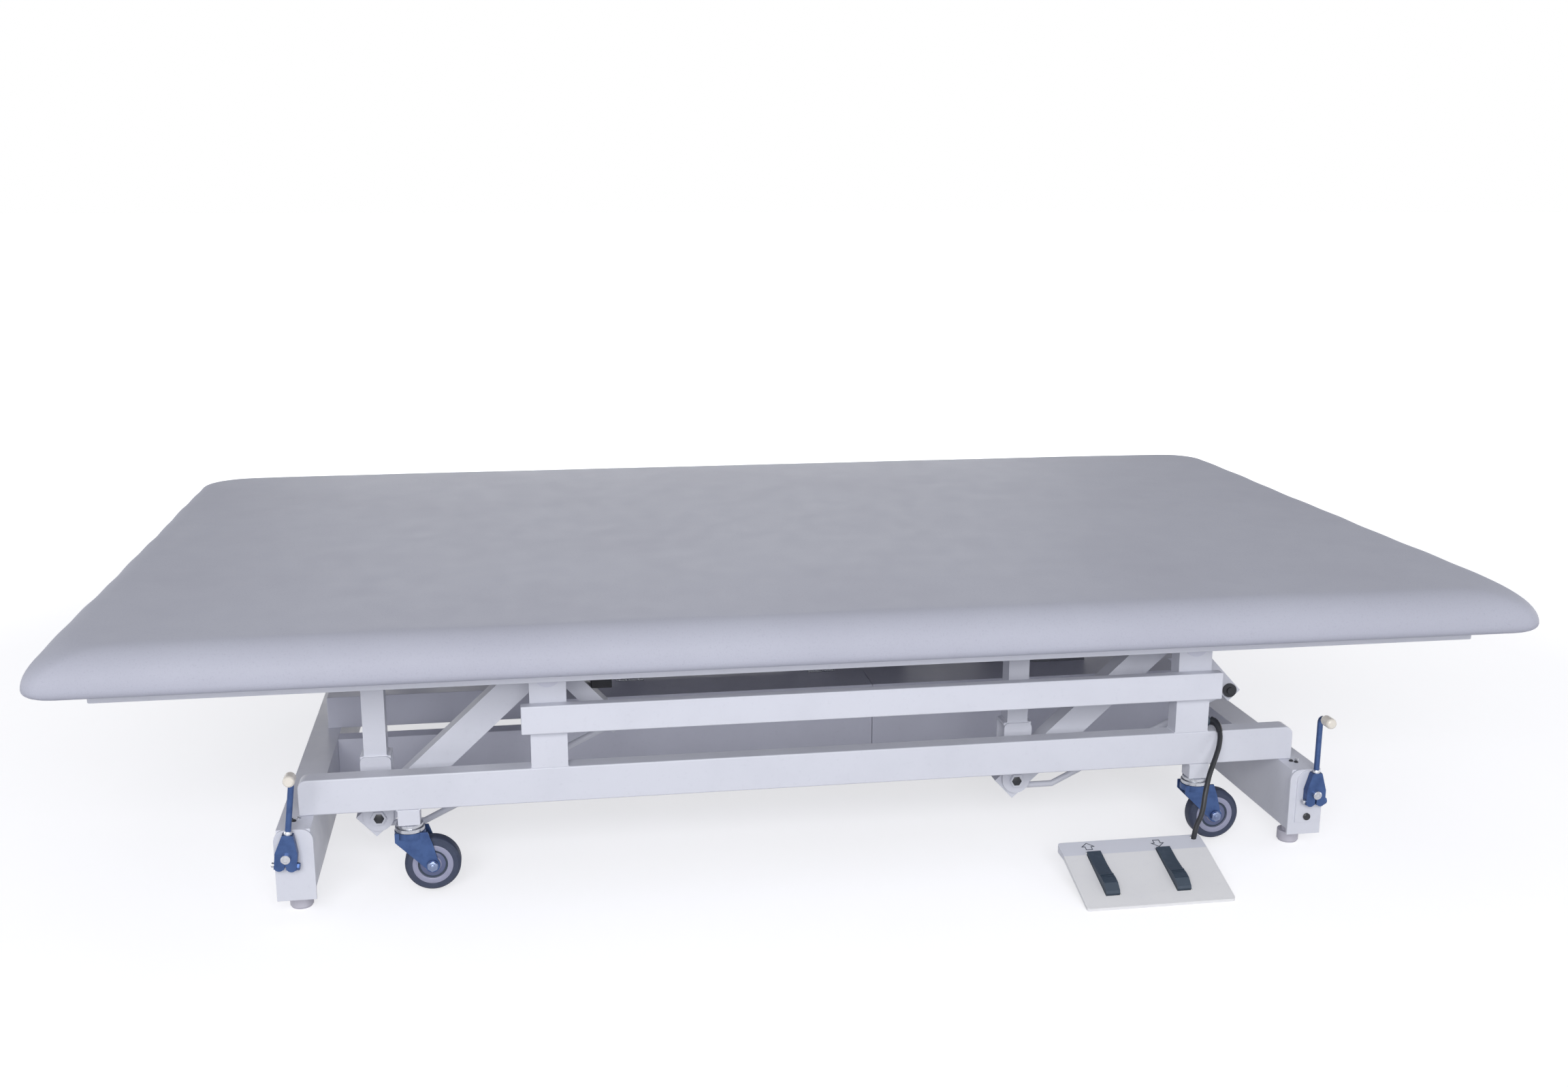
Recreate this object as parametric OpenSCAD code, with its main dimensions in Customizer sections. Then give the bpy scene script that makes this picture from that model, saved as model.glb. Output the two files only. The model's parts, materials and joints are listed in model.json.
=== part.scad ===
// Bobath therapy table: a wide padded top on a low frame. A pair of bell cranks, one at each
// end, carries the top as a parallelogram and raises it from sitting height to working height.
// X runs along the length, -Y is the front, Z is up. The origin is on the floor, under the
// middle of the table. The model is drawn in the lowest position, standing on its four feet.

/* [Upholstered top] */
// Length of the upholstered top
top_length = 2024; // [1960:2:2200]
// Width of the upholstered top
top_width = 1208; // [1160:2:1400]
// Thickness of the upholstered top at its sides
top_thickness = 61; // [54:1:90]
// Rise of the padding towards the middle
top_crown = 5; // [0:1:12]
// Plan radius of the corners at the widest line
top_corner = 24; // [20:1:60]
// Radius of the lower edge of the padding
lower_edge = 13; // [10:1:24]
// How far the padding is drawn down at the corners
corner_drop = 5; // [0:1:10]
// How far the sides draw in between the corners
side_draw = 3; // [0:1:10]
// Thickness of the plywood board inside the padding
board_thickness = 12; // [9:1:18]
// Distance from the edge of the padding to the board
board_margin = 60; // [50:1:90]

/* [Top frame] */
// Height of the underside of the top frame above the floor
top_frame_height = 315; // [312:1:330]
// Distance from the end of the padding to the end of the top frame
frame_setback = 59.5; // [52:0.5:100]
// Gap between the upper rails and the top frame
top_frame_clearance = 6; // [4:1:30]
// Side of the square tube of the top frame
frame_tube = 25; // [20:1:40]
// Wall of the frame tubes
tube_wall = 2; // [1.5:0.5:4]
// Distance from the right end of the top frame to the last cross member
end_member_setback = 162.5; // [60:0.5:300]

/* [Lift] */
// Height of the crank pivots above the floor
pivot_height = 312; // [310:1:315]
// Distance between the two crank pivots
crank_spacing = 928; // [880:2:980]
// Place of the middle between the two crank pivots, along the length
crank_middle = 88; // [60:2:120]
// Long arm of a bell crank, pivot to pivot
long_arm = 326; // [310:1:336]
// Short arm of a bell crank, pivot to pivot
short_arm = 135; // [120:1:150]
// Angle of the long arm under the horizontal in the lowest position
arm_drop = 42.8; // [42:0.1:44]
// Width of the long arms
arm_width = 40; // [30:1:44]
// Width of the short arms
short_arm_width = 25; // [22:1:32]
// Depth of the crank arms, along the shaft
arm_depth = 30; // [20:1:36]
// Distance between the front and back arms, middle to middle
arm_spacing = 760; // [740:2:776]
// Length of arm beyond the lower pivot
long_arm_end = 24; // [18:1:28]
// Length of arm beyond the tie bar pin
short_arm_end = 13; // [11:0.5:16]
// Diameter of the torque shafts
shaft_diameter = 35; // [30:1:40]
// Diameter of the torque shafts in their bushes
journal_diameter = 24; // [18:1:26]
// Outer diameter of the shaft bushes
bush_diameter = 32; // [30:1:34]
// Diameter of the pivot bolts
pivot_bolt = 14; // [10:1:16]
// Diameter of the tie bar pins
tie_pin = 14; // [10:1:14]
// Diameter of the bent brace rods
brace_rod = 9; // [6:1:12]
// Height of the tie bars
tie_height = 24; // [22:1:30]
// Thickness of the tie bars
tie_thickness = 8; // [5:1:10]
// Side of the square hanger tubes
hanger_tube = 31; // [25:1:34]
// Width of the forked hanger brackets
fork_width = 42; // [36:1:46]
// Thickness of the fork leaves
fork_leaf = 4; // [3:0.5:5]
// Height of the fork web above the lower pivot
fork_height = 89; // [78:1:100]

// Distance from the left crank pivot to the rubber stops, along the length
stop_offset = 76; // [72:1:90]
// Width of the rubber stops
stop_width = 29; // [24:1:30]
// Height of the rubber stops
stop_height = 53; // [46:1:53]

/* [Drive] */
// Length of the drive lever, shaft to pin
drive_lever_length = 110; // [90:1:120]
// Diameter of the drive lever pin
drive_pin = 12; // [10:1:14]
// Share of the lever's length that the push rod moves per radian of lift
drive_rate = 0.931; // [0.92:0.0005:0.94]
// Diameter of the push rod
push_rod = 24; // [16:1:26]
// Length of the actuator tube
actuator_tube = 302; // [280:2:320]
// Diameter of the actuator tube
actuator_diameter = 38; // [34:1:44]
// Side of the actuator gearbox
gearbox_size = 66; // [50:2:68]
// Length of the drive motor
motor_length = 130; // [90:5:140]
// Diameter of the drive motor
motor_diameter = 60; // [50:1:66]

/* [Base frame] */
// Length of the long base rails
base_rail_length = 1423; // [1400:1:1440]
// Height of the base rails
base_rail_height = 50; // [40:1:54]
// Depth of the base rails
base_rail_depth = 28; // [24:1:30]
// Width of the base over the long rails
base_width = 948; // [946:2:960]
// Height of the underside of the base rails above the floor
base_rail_bottom = 128; // [126:1:134]
// Distance between the cross beams, middle to middle
cross_beam_spacing = 1428; // [1400:1:1460]
// Width of the cross beams
cross_beam_width = 44; // [42:1:50]
// Height of the underside of the cross beams above the floor
cross_beam_bottom = 34; // [32:1:38]
// Length of the cross beams beyond the long rails, at each end
cross_beam_overhang = 44; // [42:1:56]
// Wall of the cross beams
cross_beam_wall = 3; // [2:0.5:4]
// Thickness of the end plates
end_plate_thickness = 4; // [3:0.5:6]
// Width of the end plates
end_plate_width = 51; // [50:1:60]
// Width of the posts
post_width = 50; // [46:1:60]
// Height of the top of the posts above the floor
post_top = 334; // [332:0.5:336]
// Height of the upper rails
upper_rail_height = 40; // [30:1:50]
// Depth of the upper rails
upper_rail_depth = 16; // [10:1:20]
// Height of the underside of the upper rails above the floor
upper_rail_bottom = 232; // [210:1:240]
// Length of upper rail beyond the posts
upper_rail_end = 12; // [0:1:16]

/* [Inner frame] */
// Distance between the faces of the inner rails that carry the drive
inner_rail_gap = 178; // [150:2:190]
// Distance between the faces of the lower inner rails
lower_rail_gap = 286; // [270:2:300]
// Height of the lower inner rails
lower_rail_height = 70; // [50:1:80]
// Thickness of the cover sheets
sheet = 2; // [1.5:0.5:3]
// Width of the drive covers, front sheet to back sheet
cover_width = 374; // [360:2:400]
// Height of the lower edge of the drive covers above the floor
cover_bottom = 60; // [50:1:80]
// Place of the left end of the drive covers, along the length
cover_left_end = -345; // [-349:1:-330]
// Place of the seam between the drive covers, along the length
cover_seam = 139; // [100:1:180]
// Place of the right end of the drive covers, along the length
cover_right_end = 660; // [600:1:680]

/* [Castors] */
// Distance between the castors along the length
castor_spacing = 1136; // [1100:2:1150]
// Side of the blocks that carry the castors
castor_block = 30; // [24:1:44]
// Height of the blocks that carry the castors
castor_block_height = 23; // [18:1:26]
// Diameter of the castor heads
castor_head = 42; // [36:1:50]
// Diameter of the castor wheels
wheel_diameter = 76; // [70:1:78]
// Width of the castor wheels
wheel_width = 24; // [18:1:28]
// Distance from the swivel axis to the wheel axle
castor_trail = 29; // [24:1:30]
// Height of the wheels above the floor while the table stands on its feet
wheel_lift = 8; // [6:0.5:10]

/* [Feet and levers] */
// Diameter of the rubber feet
foot_diameter = 31; // [26:1:36]
// Distance from the end of a cross beam to the middle of a foot
foot_inset = 44; // [24:1:60]
// How far the levers draw the feet up
foot_travel = 12; // [8:0.5:12]
// Height of the lever axis above the floor
lever_axis_height = 95; // [92:1:97]
// Diameter of the cam shafts
cam_shaft = 16; // [12:1:18]
// Length of the lever rods above the lever axis
lever_length = 117; // [90:1:130]
// Diameter of the lever rods
lever_rod_diameter = 8; // [6:0.5:10]
// Diameter of the lever knobs
knob_diameter = 15.5; // [13:0.5:20]
// Length of the lever knobs
knob_length = 22; // [20:1:40]
// Lean of the left lever towards the middle
left_lean = 7; // [0:1:8]

/* [Foot switch] */
// Width of the foot switch
switch_width = 213; // [190:1:216]
// Depth of the foot switch
switch_depth = 132; // [128:1:150]
// Height of the foot switch at its back edge
switch_back = 43; // [38:1:50]
// Height of the foot switch at its front edge
switch_front = 4; // [3.5:0.5:8]
// Width of the pedals
pedal_width = 20; // [14:1:26]
// Distance between the pedals, middle to middle
pedal_spacing = 103; // [60:1:110]
// Distance from the left edge of the foot switch to the middle of the first pedal
pedal_inset = 44.5; // [30:0.5:50]
// Length of the pedals
pedal_length = 86; // [76:1:90]
// Plan radius of the corners of the foot switch
switch_corner = 5; // [2:0.5:10]
// Diameter of the foot switch cord
cord_diameter = 7.5; // [5:0.5:9]

/* [Hidden] */

fine = 48;                  // facets of a full circle where a true curve matters
running = 0.06;             // radial clearance of a turning or sliding fit
seat = 0.3;                 // gap between parts that lie against each other and move
paint = [0.85, 0.85, 0.90];
shade = [0.62, 0.62, 0.68];
vinyl = [0.63, 0.63, 0.72];
zinc = [0.30, 0.37, 0.55];
steel = [0.68, 0.69, 0.72];
black = [0.10, 0.11, 0.13];
tyre_grey = [0.25, 0.26, 0.30];
cream = [0.90, 0.88, 0.82];
plywood = [0.72, 0.58, 0.40];

ends = [-1, 1];             // left and right, or front and back

// Heights and places that follow from the driving sizes
top_frame_length = top_length - 2 * frame_setback;
end_member_x = top_frame_length / 2 - end_member_setback;
top_frame_top = top_frame_height + frame_tube;
padding_bottom = top_frame_top + 4;
padding_top = padding_bottom + top_thickness;
left_pivot = crank_middle - crank_spacing / 2;
right_pivot = crank_middle + crank_spacing / 2;
pivots = [left_pivot, right_pivot];
arm_run = long_arm * cos(arm_drop);
arm_fall = long_arm * sin(arm_drop);
lower_pivot_height = pivot_height - arm_fall;
arm_y = arm_spacing / 2;
arm_inner = arm_y - arm_depth / 2;
fork_gap = arm_depth + 2;
fork_inner = arm_y - fork_gap / 2;
fork_outer = arm_y + fork_gap / 2;
base_outer = base_width / 2;
top_frame_width = 2 * (base_outer + upper_rail_depth + top_frame_clearance + frame_tube);
base_inner = base_outer - base_rail_depth;
rail_middle = base_outer - base_rail_depth / 2;
base_rail_top = base_rail_bottom + base_rail_height;
cross_beam_height = base_rail_bottom - cross_beam_bottom;
cross_beam_length = base_width + 2 * cross_beam_overhang;
beam_x = cross_beam_spacing / 2;
plate_front = cross_beam_length / 2 + end_plate_thickness;
plate_bottom = cross_beam_bottom - 5;
plate_corner = 16;
inner_outer = inner_rail_gap / 2 + base_rail_depth;
castor_x = castor_spacing / 2;
wheel_radius = wheel_diameter / 2;
axle_height = wheel_lift + wheel_radius;
fork_head_bottom = wheel_lift + wheel_diameter + 2;
fork_head_top = fork_head_bottom + 9;
bearing_top = base_rail_bottom - castor_block_height;
foot_y = cross_beam_length / 2 - foot_inset;
foot_x = beam_x + 1;
cam_offset = foot_travel / (PI / 2);
lever_x = foot_x + cam_offset;
buffer_x = left_pivot + stop_offset;
drive_height = pivot_height - drive_lever_length * (1 + cos(arm_drop)) / 2;
yoke_x = left_pivot + drive_lever_length * drive_rate * arm_drop * PI / 180;
yoke_half = 20;
bare_rod = 16.65;           // push rod that shows between the yoke and its tube
tube_x = yoke_x + yoke_half + bare_rod;
gearbox_x = tube_x + actuator_tube;
tie_outer = fork_inner - 10;
tie_inner = tie_outer - tie_thickness;
switch_x = 441;
switch_y = -530;
crease = 30;
crease_height = switch_back - 7;
switch_slope = atan((crease_height - switch_front) / (switch_depth - crease));
switch_left = switch_x - switch_width / 2;
pedals_x = [switch_left + pedal_inset, switch_left + pedal_inset + pedal_spacing];
cord_hole_x = switch_x + switch_width / 2 - 11.5;
cord_hole_y = switch_y - 7.5;

// The foot switch reaches out in front, so the table stands this far behind the middle
table_y = (switch_depth - switch_y - top_width / 2) / 2;

// Shifts its children from the table's own middle to the middle of the whole
module table() {
    translate([0, table_y, 0])
        children();
}

// A bar along X between two places, centred on Y = 0, standing on Z = 0
module bar_x(from, to, depth, height) {
    translate([from, -depth / 2, 0])
        cube([to - from, depth, height]);
}

// A hollow bar along X between two places, open at both ends
module hollow_bar_x(from, to, depth, height, wall) {
    difference() {
        bar_x(from, to, depth, height);
        translate([0, 0, wall])
            bar_x(from - 1, to + 1, depth - 2 * wall, height - 2 * wall);
    }
}

// A square tube along Y
module tube_y(length, side, wall) {
    difference() {
        translate([-side / 2, -length / 2, 0])
            cube([side, length, side]);
        translate([wall - side / 2, -length / 2 - 1, wall])
            cube([side - 2 * wall, length + 2, side - 2 * wall]);
    }
}

// A square tube along X
module tube_x(length, side, wall) {
    rotate([0, 0, 90])
        tube_y(length, side, wall);
}

// A cylinder along Y from one place to another
module pin_y(from, to, radius) {
    translate([0, from, 0])
        rotate([-90, 0, 0])
            cylinder(h = to - from, r = radius, $fn = fine);
}

// Shapes drawn in the XZ plane, given depth along Y between two places
module plate_y(from, to) {
    translate([0, to, 0])
        rotate([90, 0, 0])
            linear_extrude(height = to - from)
                children();
}

// Mirrors its children to the front (-Y) and leaves a copy at the back
module front_and_back() {
    children();
    mirror([0, 1, 0])
        children();
}

// Base frame

module base_rails() {
    color(paint) table()
        front_and_back()
            plate_y(base_inner, base_outer)
                rail_outline(base_rail_length, base_rail_bottom, base_rail_height, 12);
}

// Side view of a rail whose upper corners are rounded
module rail_outline(length, bottom, height, corner) {
    half = length / 2;
    translate([-half, bottom])
        square([length, height - corner]);
    translate([corner - half, bottom])
        square([length - 2 * corner, height]);
    for (s = ends)
        translate([s * (half - corner), bottom + height - corner])
            circle(r = corner, $fn = fine);
}

module cross_beam(s) {
    inside = cross_beam_width - 2 * cross_beam_wall;
    color(paint) table()
        translate([s * beam_x, 0, cross_beam_bottom])
            difference() {
                translate([-cross_beam_width / 2, -cross_beam_length / 2, 0])
                    cube([cross_beam_width, cross_beam_length, cross_beam_height]);
                translate([-inside / 2, -cross_beam_length / 2 - 1, cross_beam_wall])
                    cube([inside, cross_beam_length + 2, cross_beam_height - 2 * cross_beam_wall]);
                for (f = ends)
                    translate([s * (foot_x - beam_x), f * foot_y, -1])
                        cylinder(h = cross_beam_wall + 2, r = foot_stem + running, $fn = fine);
            }
}

foot_stem = 10;
module end_plates() {
    color(paint) table()
        for (s = ends)
            front_and_back()
                difference() {
                    translate([s * beam_x, 0, 0])
                        plate_y(cross_beam_length / 2, plate_front)
                            end_plate_outline(end_plate_width, plate_bottom, base_rail_bottom + 1);
                    translate([s * lever_x, 0, lever_axis_height])
                        pin_y(cross_beam_length / 2 - 1, plate_front + 1, cam_shaft / 2 + running);
                }
    // Cover over the lever linkage at the right end of the front
    color(paint) table()
        difference() {
            translate([beam_x + 4.5, 0, 0])
                plate_y(-plate_front - 2, -plate_front)
                    end_plate_outline(end_plate_width - 11, plate_bottom + 19, base_rail_bottom);
            translate([lever_x, 0, lever_axis_height])
                pin_y(-plate_front - 3, 0, cam_shaft / 2 + 1);
        }
    // Screw of that cover
    color(black) table()
        translate([beam_x + 2, 0, plate_bottom + 28])
            pin_y(-plate_front - 4, -plate_front - 2, 5);
}

// Front view of an end plate, with rounded upper corners
module end_plate_outline(width, bottom, top) {
    translate([-width / 2, bottom])
        square([width, top - bottom - plate_corner]);
    translate([plate_corner - width / 2, bottom])
        square([width - 2 * plate_corner, top - bottom]);
    for (s = ends)
        translate([s * (width / 2 - plate_corner), top - plate_corner])
            circle(r = plate_corner, $fn = fine);
}

module posts() {
    color(paint) table()
        for (x = pivots)
            front_and_back()
                translate([x, 0, 0])
                    difference() {
                        plate_y(base_inner, base_outer)
                            translate([-post_width / 2, base_rail_top])
                                square([post_width, post_top - base_rail_top]);
                        translate([0, 0, pivot_height])
                            pin_y(base_inner - 1, base_outer + 1, bush_diameter / 2 + 0.02);
                    }
}

module upper_rails() {
    from = left_pivot - post_width / 2 - upper_rail_end;
    to = right_pivot + post_width / 2 + upper_rail_end;
    color(paint) table()
        front_and_back()
            translate([0, base_outer + upper_rail_depth / 2, upper_rail_bottom])
                bar_x(from, to, upper_rail_depth, upper_rail_height);
}

module shaft_bushes() {
    flange = 3;
    color(shade) table()
        for (x = pivots)
            front_and_back()
                translate([x, 0, pivot_height])
                    difference() {
                        union() {
                            pin_y(base_inner, base_outer, bush_diameter / 2);
                            pin_y(base_outer, base_outer + flange, bush_diameter / 2 + 2);
                        }
                        pin_y(base_inner - 1, base_outer + 1, journal_diameter / 2 + running);
                    }
}

module inner_rails() {
    lower_end = beam_x - cross_beam_width / 2;
    color(shade) table()
        front_and_back() {
            translate([0, inner_outer - base_rail_depth / 2, base_rail_bottom])
                hollow_bar_x(-base_rail_length / 2, base_rail_length / 2, base_rail_depth,
                             base_rail_height, tube_wall);
            translate([0, (lower_rail_gap + base_rail_depth) / 2, base_rail_bottom - lower_rail_height])
                hollow_bar_x(-lower_end, lower_end, base_rail_depth, lower_rail_height, tube_wall);
        }
}

// Angled sheets over the drive: a front face and a flange that lies on the inner rails
module drive_covers() {
    seam = 1;
    flange_inner = inner_outer - 7;
    spans = [[cover_left_end, cover_seam - seam / 2], [cover_seam + seam / 2, cover_right_end]];
    color(shade) table()
        for (span = spans)
            front_and_back() {
                translate([span[0], flange_inner, base_rail_top])
                    cube([span[1] - span[0], cover_width / 2 - flange_inner, sheet]);
                translate([span[0], cover_width / 2 - sheet, cover_bottom])
                    cube([span[1] - span[0], sheet, base_rail_top - cover_bottom + sheet]);
            }
}

// Castors

module castor_blocks() {
    color(paint) table()
        for (s = ends)
            front_and_back()
                translate([s * castor_x - castor_block / 2, base_inner, bearing_top])
                    cube([castor_block, base_rail_depth, castor_block_height]);
}

king_pin = 6;
module castor_bearings() {
    head = castor_head / 2;
    // Radius of each ring and how far down the stack it reaches
    rings = [[head - 3, 0.35], [head - 5, 0.5], [head - 1, 1]];
    stack = bearing_top - fork_head_top - seat;
    color(steel) table()
        for (s = ends)
            front_and_back()
                translate([s * castor_x, rail_middle, 0]) {
                    for (i = [0 : 2])
                        translate([0, 0, bearing_top - stack * rings[i][1]])
                            cylinder(h = stack * (rings[i][1] - (i == 0 ? 0 : rings[i - 1][1])),
                                     r = rings[i][0], $fn = fine);
                    translate([0, 0, fork_head_bottom + 1])
                        cylinder(h = bearing_top - fork_head_bottom - 1, r = king_pin, $fn = fine);
                }
}

fork_leg = 2.5;
module castor_fork(s, f) {
    inside = wheel_width / 2 + 1;
    axle = 6;
    nut = 4;
    color(zinc) table()
        translate([s * castor_x, f * rail_middle, 0]) {
            difference() {
                union() {
                    translate([0, 0, fork_head_bottom])
                        cylinder(h = fork_head_top - fork_head_bottom, r = castor_head / 2, $fn = fine);
                    for (g = ends)
                        translate([0, g > 0 ? 0 : -2 * inside - fork_leg, 0])
                            plate_y(inside, inside + fork_leg)
                                fork_leg_outline();
                }
                translate([0, 0, fork_head_bottom - 1])
                    cylinder(h = fork_head_top, r = king_pin + running, $fn = fine);
                // The wheel's own space in the fork
                translate([castor_trail, 0, axle_height])
                    pin_y(-inside, inside, wheel_radius + 1.5);
            }
            translate([castor_trail, 0, axle_height]) {
                pin_y(-inside, inside, axle);
                for (g = ends)
                    pin_y(g > 0 ? inside + fork_leg : -inside - fork_leg - nut,
                          g > 0 ? inside + fork_leg + nut : -inside - fork_leg, axle + 1);
            }
        }
}

// Side view of a fork leg, from the head down to the axle
module fork_leg_outline() {
    polygon([[-20, fork_head_top], [24, fork_head_top], [30, fork_head_bottom - 8],
             [castor_trail + 9, axle_height], [castor_trail - 8, axle_height - 5],
             [-20, fork_head_bottom - 4]]);
    translate([castor_trail, axle_height])
        circle(r = 10, $fn = fine);
}

rim = wheel_radius * 0.66;
module wheel_hub(s, f) {
    half = wheel_width / 2;
    color(steel) table()
        translate([s * castor_x + castor_trail, f * rail_middle, axle_height])
            rotate([90, 0, 0])
                rotate_extrude($fn = 64)
                    polygon([[6 + running, -half], [11, -half], [13, 2 - half], [rim - 5, 4 - half],
                             [rim, 2 - half], [rim, half - 2], [rim - 5, half - 4], [13, half - 2],
                             [11, half], [6 + running, half]]);
}

module tyre(s, f) {
    half = wheel_width / 2;
    color(tyre_grey) table()
        translate([s * castor_x + castor_trail, f * rail_middle, axle_height])
            rotate([90, 0, 0])
                rotate_extrude($fn = 64)
                    polygon([[rim, 1 - half], [rim + 3, -half], [wheel_radius - 4, -half],
                             [wheel_radius - 1, 2.5 - half], [wheel_radius, 5.5 - half],
                             [wheel_radius, half - 5.5], [wheel_radius - 1, half - 2.5],
                             [wheel_radius - 4, half], [rim + 3, half], [rim, half - 1]]);
}

// Feet and their levers

// Rubber feet with steel stems whose flat tops follow the cams
module feet(s) {
    tip = lever_axis_height - cam_base - foot_travel - seat;
    pad = 17;
    color(shade) table()
        for (f = ends)
            translate([s * foot_x, f * foot_y, 0]) {
                cylinder(h = 3, r1 = foot_diameter / 2 - 2, r2 = foot_diameter / 2, $fn = fine);
                translate([0, 0, 3])
                    cylinder(h = pad - 3, r = foot_diameter / 2, $fn = fine);
                translate([0, 0, pad])
                    cylinder(h = tip - pad, r = foot_stem, $fn = fine);
            }
}

cam_base = 9;

// A cam's rim is the involute whose reach under the axis falls evenly as the lever turns
function cam_point(a) =
    let (reach = cam_base + foot_travel * (1 - a / 90))
    reach * [sin(a), -cos(a)] - cam_offset * [cos(a), sin(a)];

module cam_shaft_part(s) {
    flank = [for (a = [0 : 6 : 90]) cam_point(a)];
    round = [for (a = [0 : 20 : 180]) cam_base * [cos(a), sin(a)]];
    color(steel) table()
        translate([s * lever_x, 0, lever_axis_height]) {
            pin_y(-plate_front - lever_depth, plate_front - 1, cam_shaft / 2);
            for (f = ends)
                plate_y(f * foot_y - 6, f * foot_y + 6)
                    scale([s, 1])
                        polygon(concat(flank, round));
        }
}

lever_depth = 10;           // how far the cam shaft stands out into the lever clamp
lever_front = 14;
rod_y = -8.5;

// Places a lever's parts on its axis, with the left one leaning
module on_lever(s) {
    translate([s * lever_x, -plate_front, lever_axis_height])
        rotate([0, s < 0 ? left_lean : 0, 0])
            children();
}

// Split clamp on the end of the cam shaft, with the lever rod in its neck
module lever_clamp(s) {
    half = 14.5;
    slit = 2.4;
    bolt_z = -15;
    color(zinc) table()
        on_lever(s) {
            difference() {
                plate_y(-lever_front, -3)
                    difference() {
                        union() {
                            polygon([[-half, 6], [half, 6], [7, 32], [-7, 32]]);
                            translate([-half, -12])
                                square([2 * half, 18]);
                            for (g = ends)
                                translate([g * (half + slit / 2) / 2, -12])
                                    circle(r = (half - slit / 2) / 2, $fn = fine);
                            for (g = ends)
                                translate([g * (half + slit / 2) / 2 - (half - slit / 2) / 2, -16])
                                    square([half - slit / 2, 6]);
                        }
                        translate([-slit / 2, -20])
                            square([slit, 20]);
                    }
                pin_y(-lever_depth - running, 0, cam_shaft / 2 + running);
                translate([0, rod_y, 14])
                    cylinder(h = 30, r = lever_rod_diameter / 2 + running, $fn = fine);
            }
            // Screw in the end of the shaft and the pinch bolt across the slit
            pin_y(-lever_front - 5, -lever_front, 5.5);
            translate([0, rod_y, bolt_z + 3])
                rotate([0, 90, 0])
                    cylinder(h = 2 * half + 6, r = 2.5, center = true, $fn = 24);
        }
}

rod_bend = 9;
rod_run = 18;
module lever_rod(s) {
    color(zinc) table()
        on_lever(s) {
            translate([0, rod_y, 14])
                cylinder(h = lever_length - 14 - rod_bend, r = lever_rod_diameter / 2, $fn = fine);
            translate([0, rod_y - rod_bend, lever_length - rod_bend])
                rotate([0, -90, 0])
                    rotate_extrude(angle = 90, $fn = fine)
                        translate([rod_bend, 0])
                            circle(r = lever_rod_diameter / 2, $fn = 24);
            translate([0, rod_y - rod_bend, lever_length])
                pin_y(-rod_run, 0, lever_rod_diameter / 2);
        }
}

module lever_knob(s) {
    radius = knob_diameter / 2;
    bore = lever_rod_diameter / 2 + 0.02;
    start = 4;
    color(cream) table()
        on_lever(s)
            translate([0, rod_y - rod_bend, lever_length])
                rotate([90, 0, 0])
                    rotate_extrude($fn = fine)
                        polygon([[bore, start], [radius - 1, start], [radius, start + 3],
                                 [radius, start + knob_length - 4], [radius - 1, start + knob_length - 1.5],
                                 [radius - 3, start + knob_length], [0, start + knob_length],
                                 [0, rod_run + 0.1], [bore, rod_run + 0.1]]);
}

// Lift

module torque_shaft(x) {
    color(paint) table()
        translate([x, 0, pivot_height]) {
            pin_y(-base_inner + 2, base_inner - 2, shaft_diameter / 2);
            pin_y(-base_outer + 1, base_outer - 1, journal_diameter / 2);
        }
}

// Side view of a bell crank, with the long arm along -X and the short arm along -Z
module crank_outline() {
    difference() {
        union() {
            translate([-long_arm - long_arm_end, -arm_width / 2])
                square([long_arm + long_arm_end, arm_width]);
            translate([-short_arm_width / 2, -short_arm - short_arm_end])
                square([short_arm_width, short_arm + short_arm_end]);
            circle(r = shaft_diameter / 2 + 2.5, $fn = fine);
        }
        circle(r = shaft_diameter / 2 + 0.02, $fn = fine);
        translate([-long_arm, 0])
            circle(r = pivot_bolt / 2 + running, $fn = fine);
        translate([0, -short_arm])
            circle(r = tie_pin / 2 + running, $fn = fine);
    }
}

module bell_cranks(x) {
    color(paint) table()
        front_and_back()
            translate([x, 0, pivot_height])
                rotate([0, -arm_drop, 0])
                    plate_y(arm_inner, arm_inner + arm_depth)
                        crank_outline();
}

// Bent rod that ties the end of the long arm to the end of the short arm, trimmed to both
module brace_rods(x) {
    r = brace_rod / 2;
    start = [-6, -17];
    knee = [62, -17];
    weld_arm = short_arm + 4;
    weld = [arm_run + weld_arm * sin(arm_drop) - short_arm_width / 2 * cos(arm_drop),
            arm_fall - weld_arm * cos(arm_drop) - short_arm_width / 2 * sin(arm_drop)];
    way = weld - knee;
    trim = 60;
    color(paint) table()
        front_and_back()
            translate([x - arm_run, arm_y, lower_pivot_height])
                rotate([90, 0, 0]) {
                    difference() {
                        translate([start[0], start[1], 0])
                            rotate([0, 90, 0])
                                cylinder(h = knee[0] - start[0], r = r, $fn = 24);
                        rotate([0, 0, arm_drop])
                            translate([-trim, -arm_width / 2, -trim / 2])
                                cube([2 * trim, trim, trim]);
                    }
                    translate([knee[0], knee[1], 0])
                        sphere(r = r + 0.05, $fn = 24);
                    difference() {
                        translate([knee[0], knee[1], 0])
                            rotate([0, 90, atan2(way[1], way[0])])
                                cylinder(h = norm(way) + 10, r = r, $fn = 24);
                        translate(weld)
                            rotate([0, 0, arm_drop])
                                translate([0, -trim, -trim / 2])
                                    cube([trim, 2 * trim, trim]);
                    }
                }
}

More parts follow.
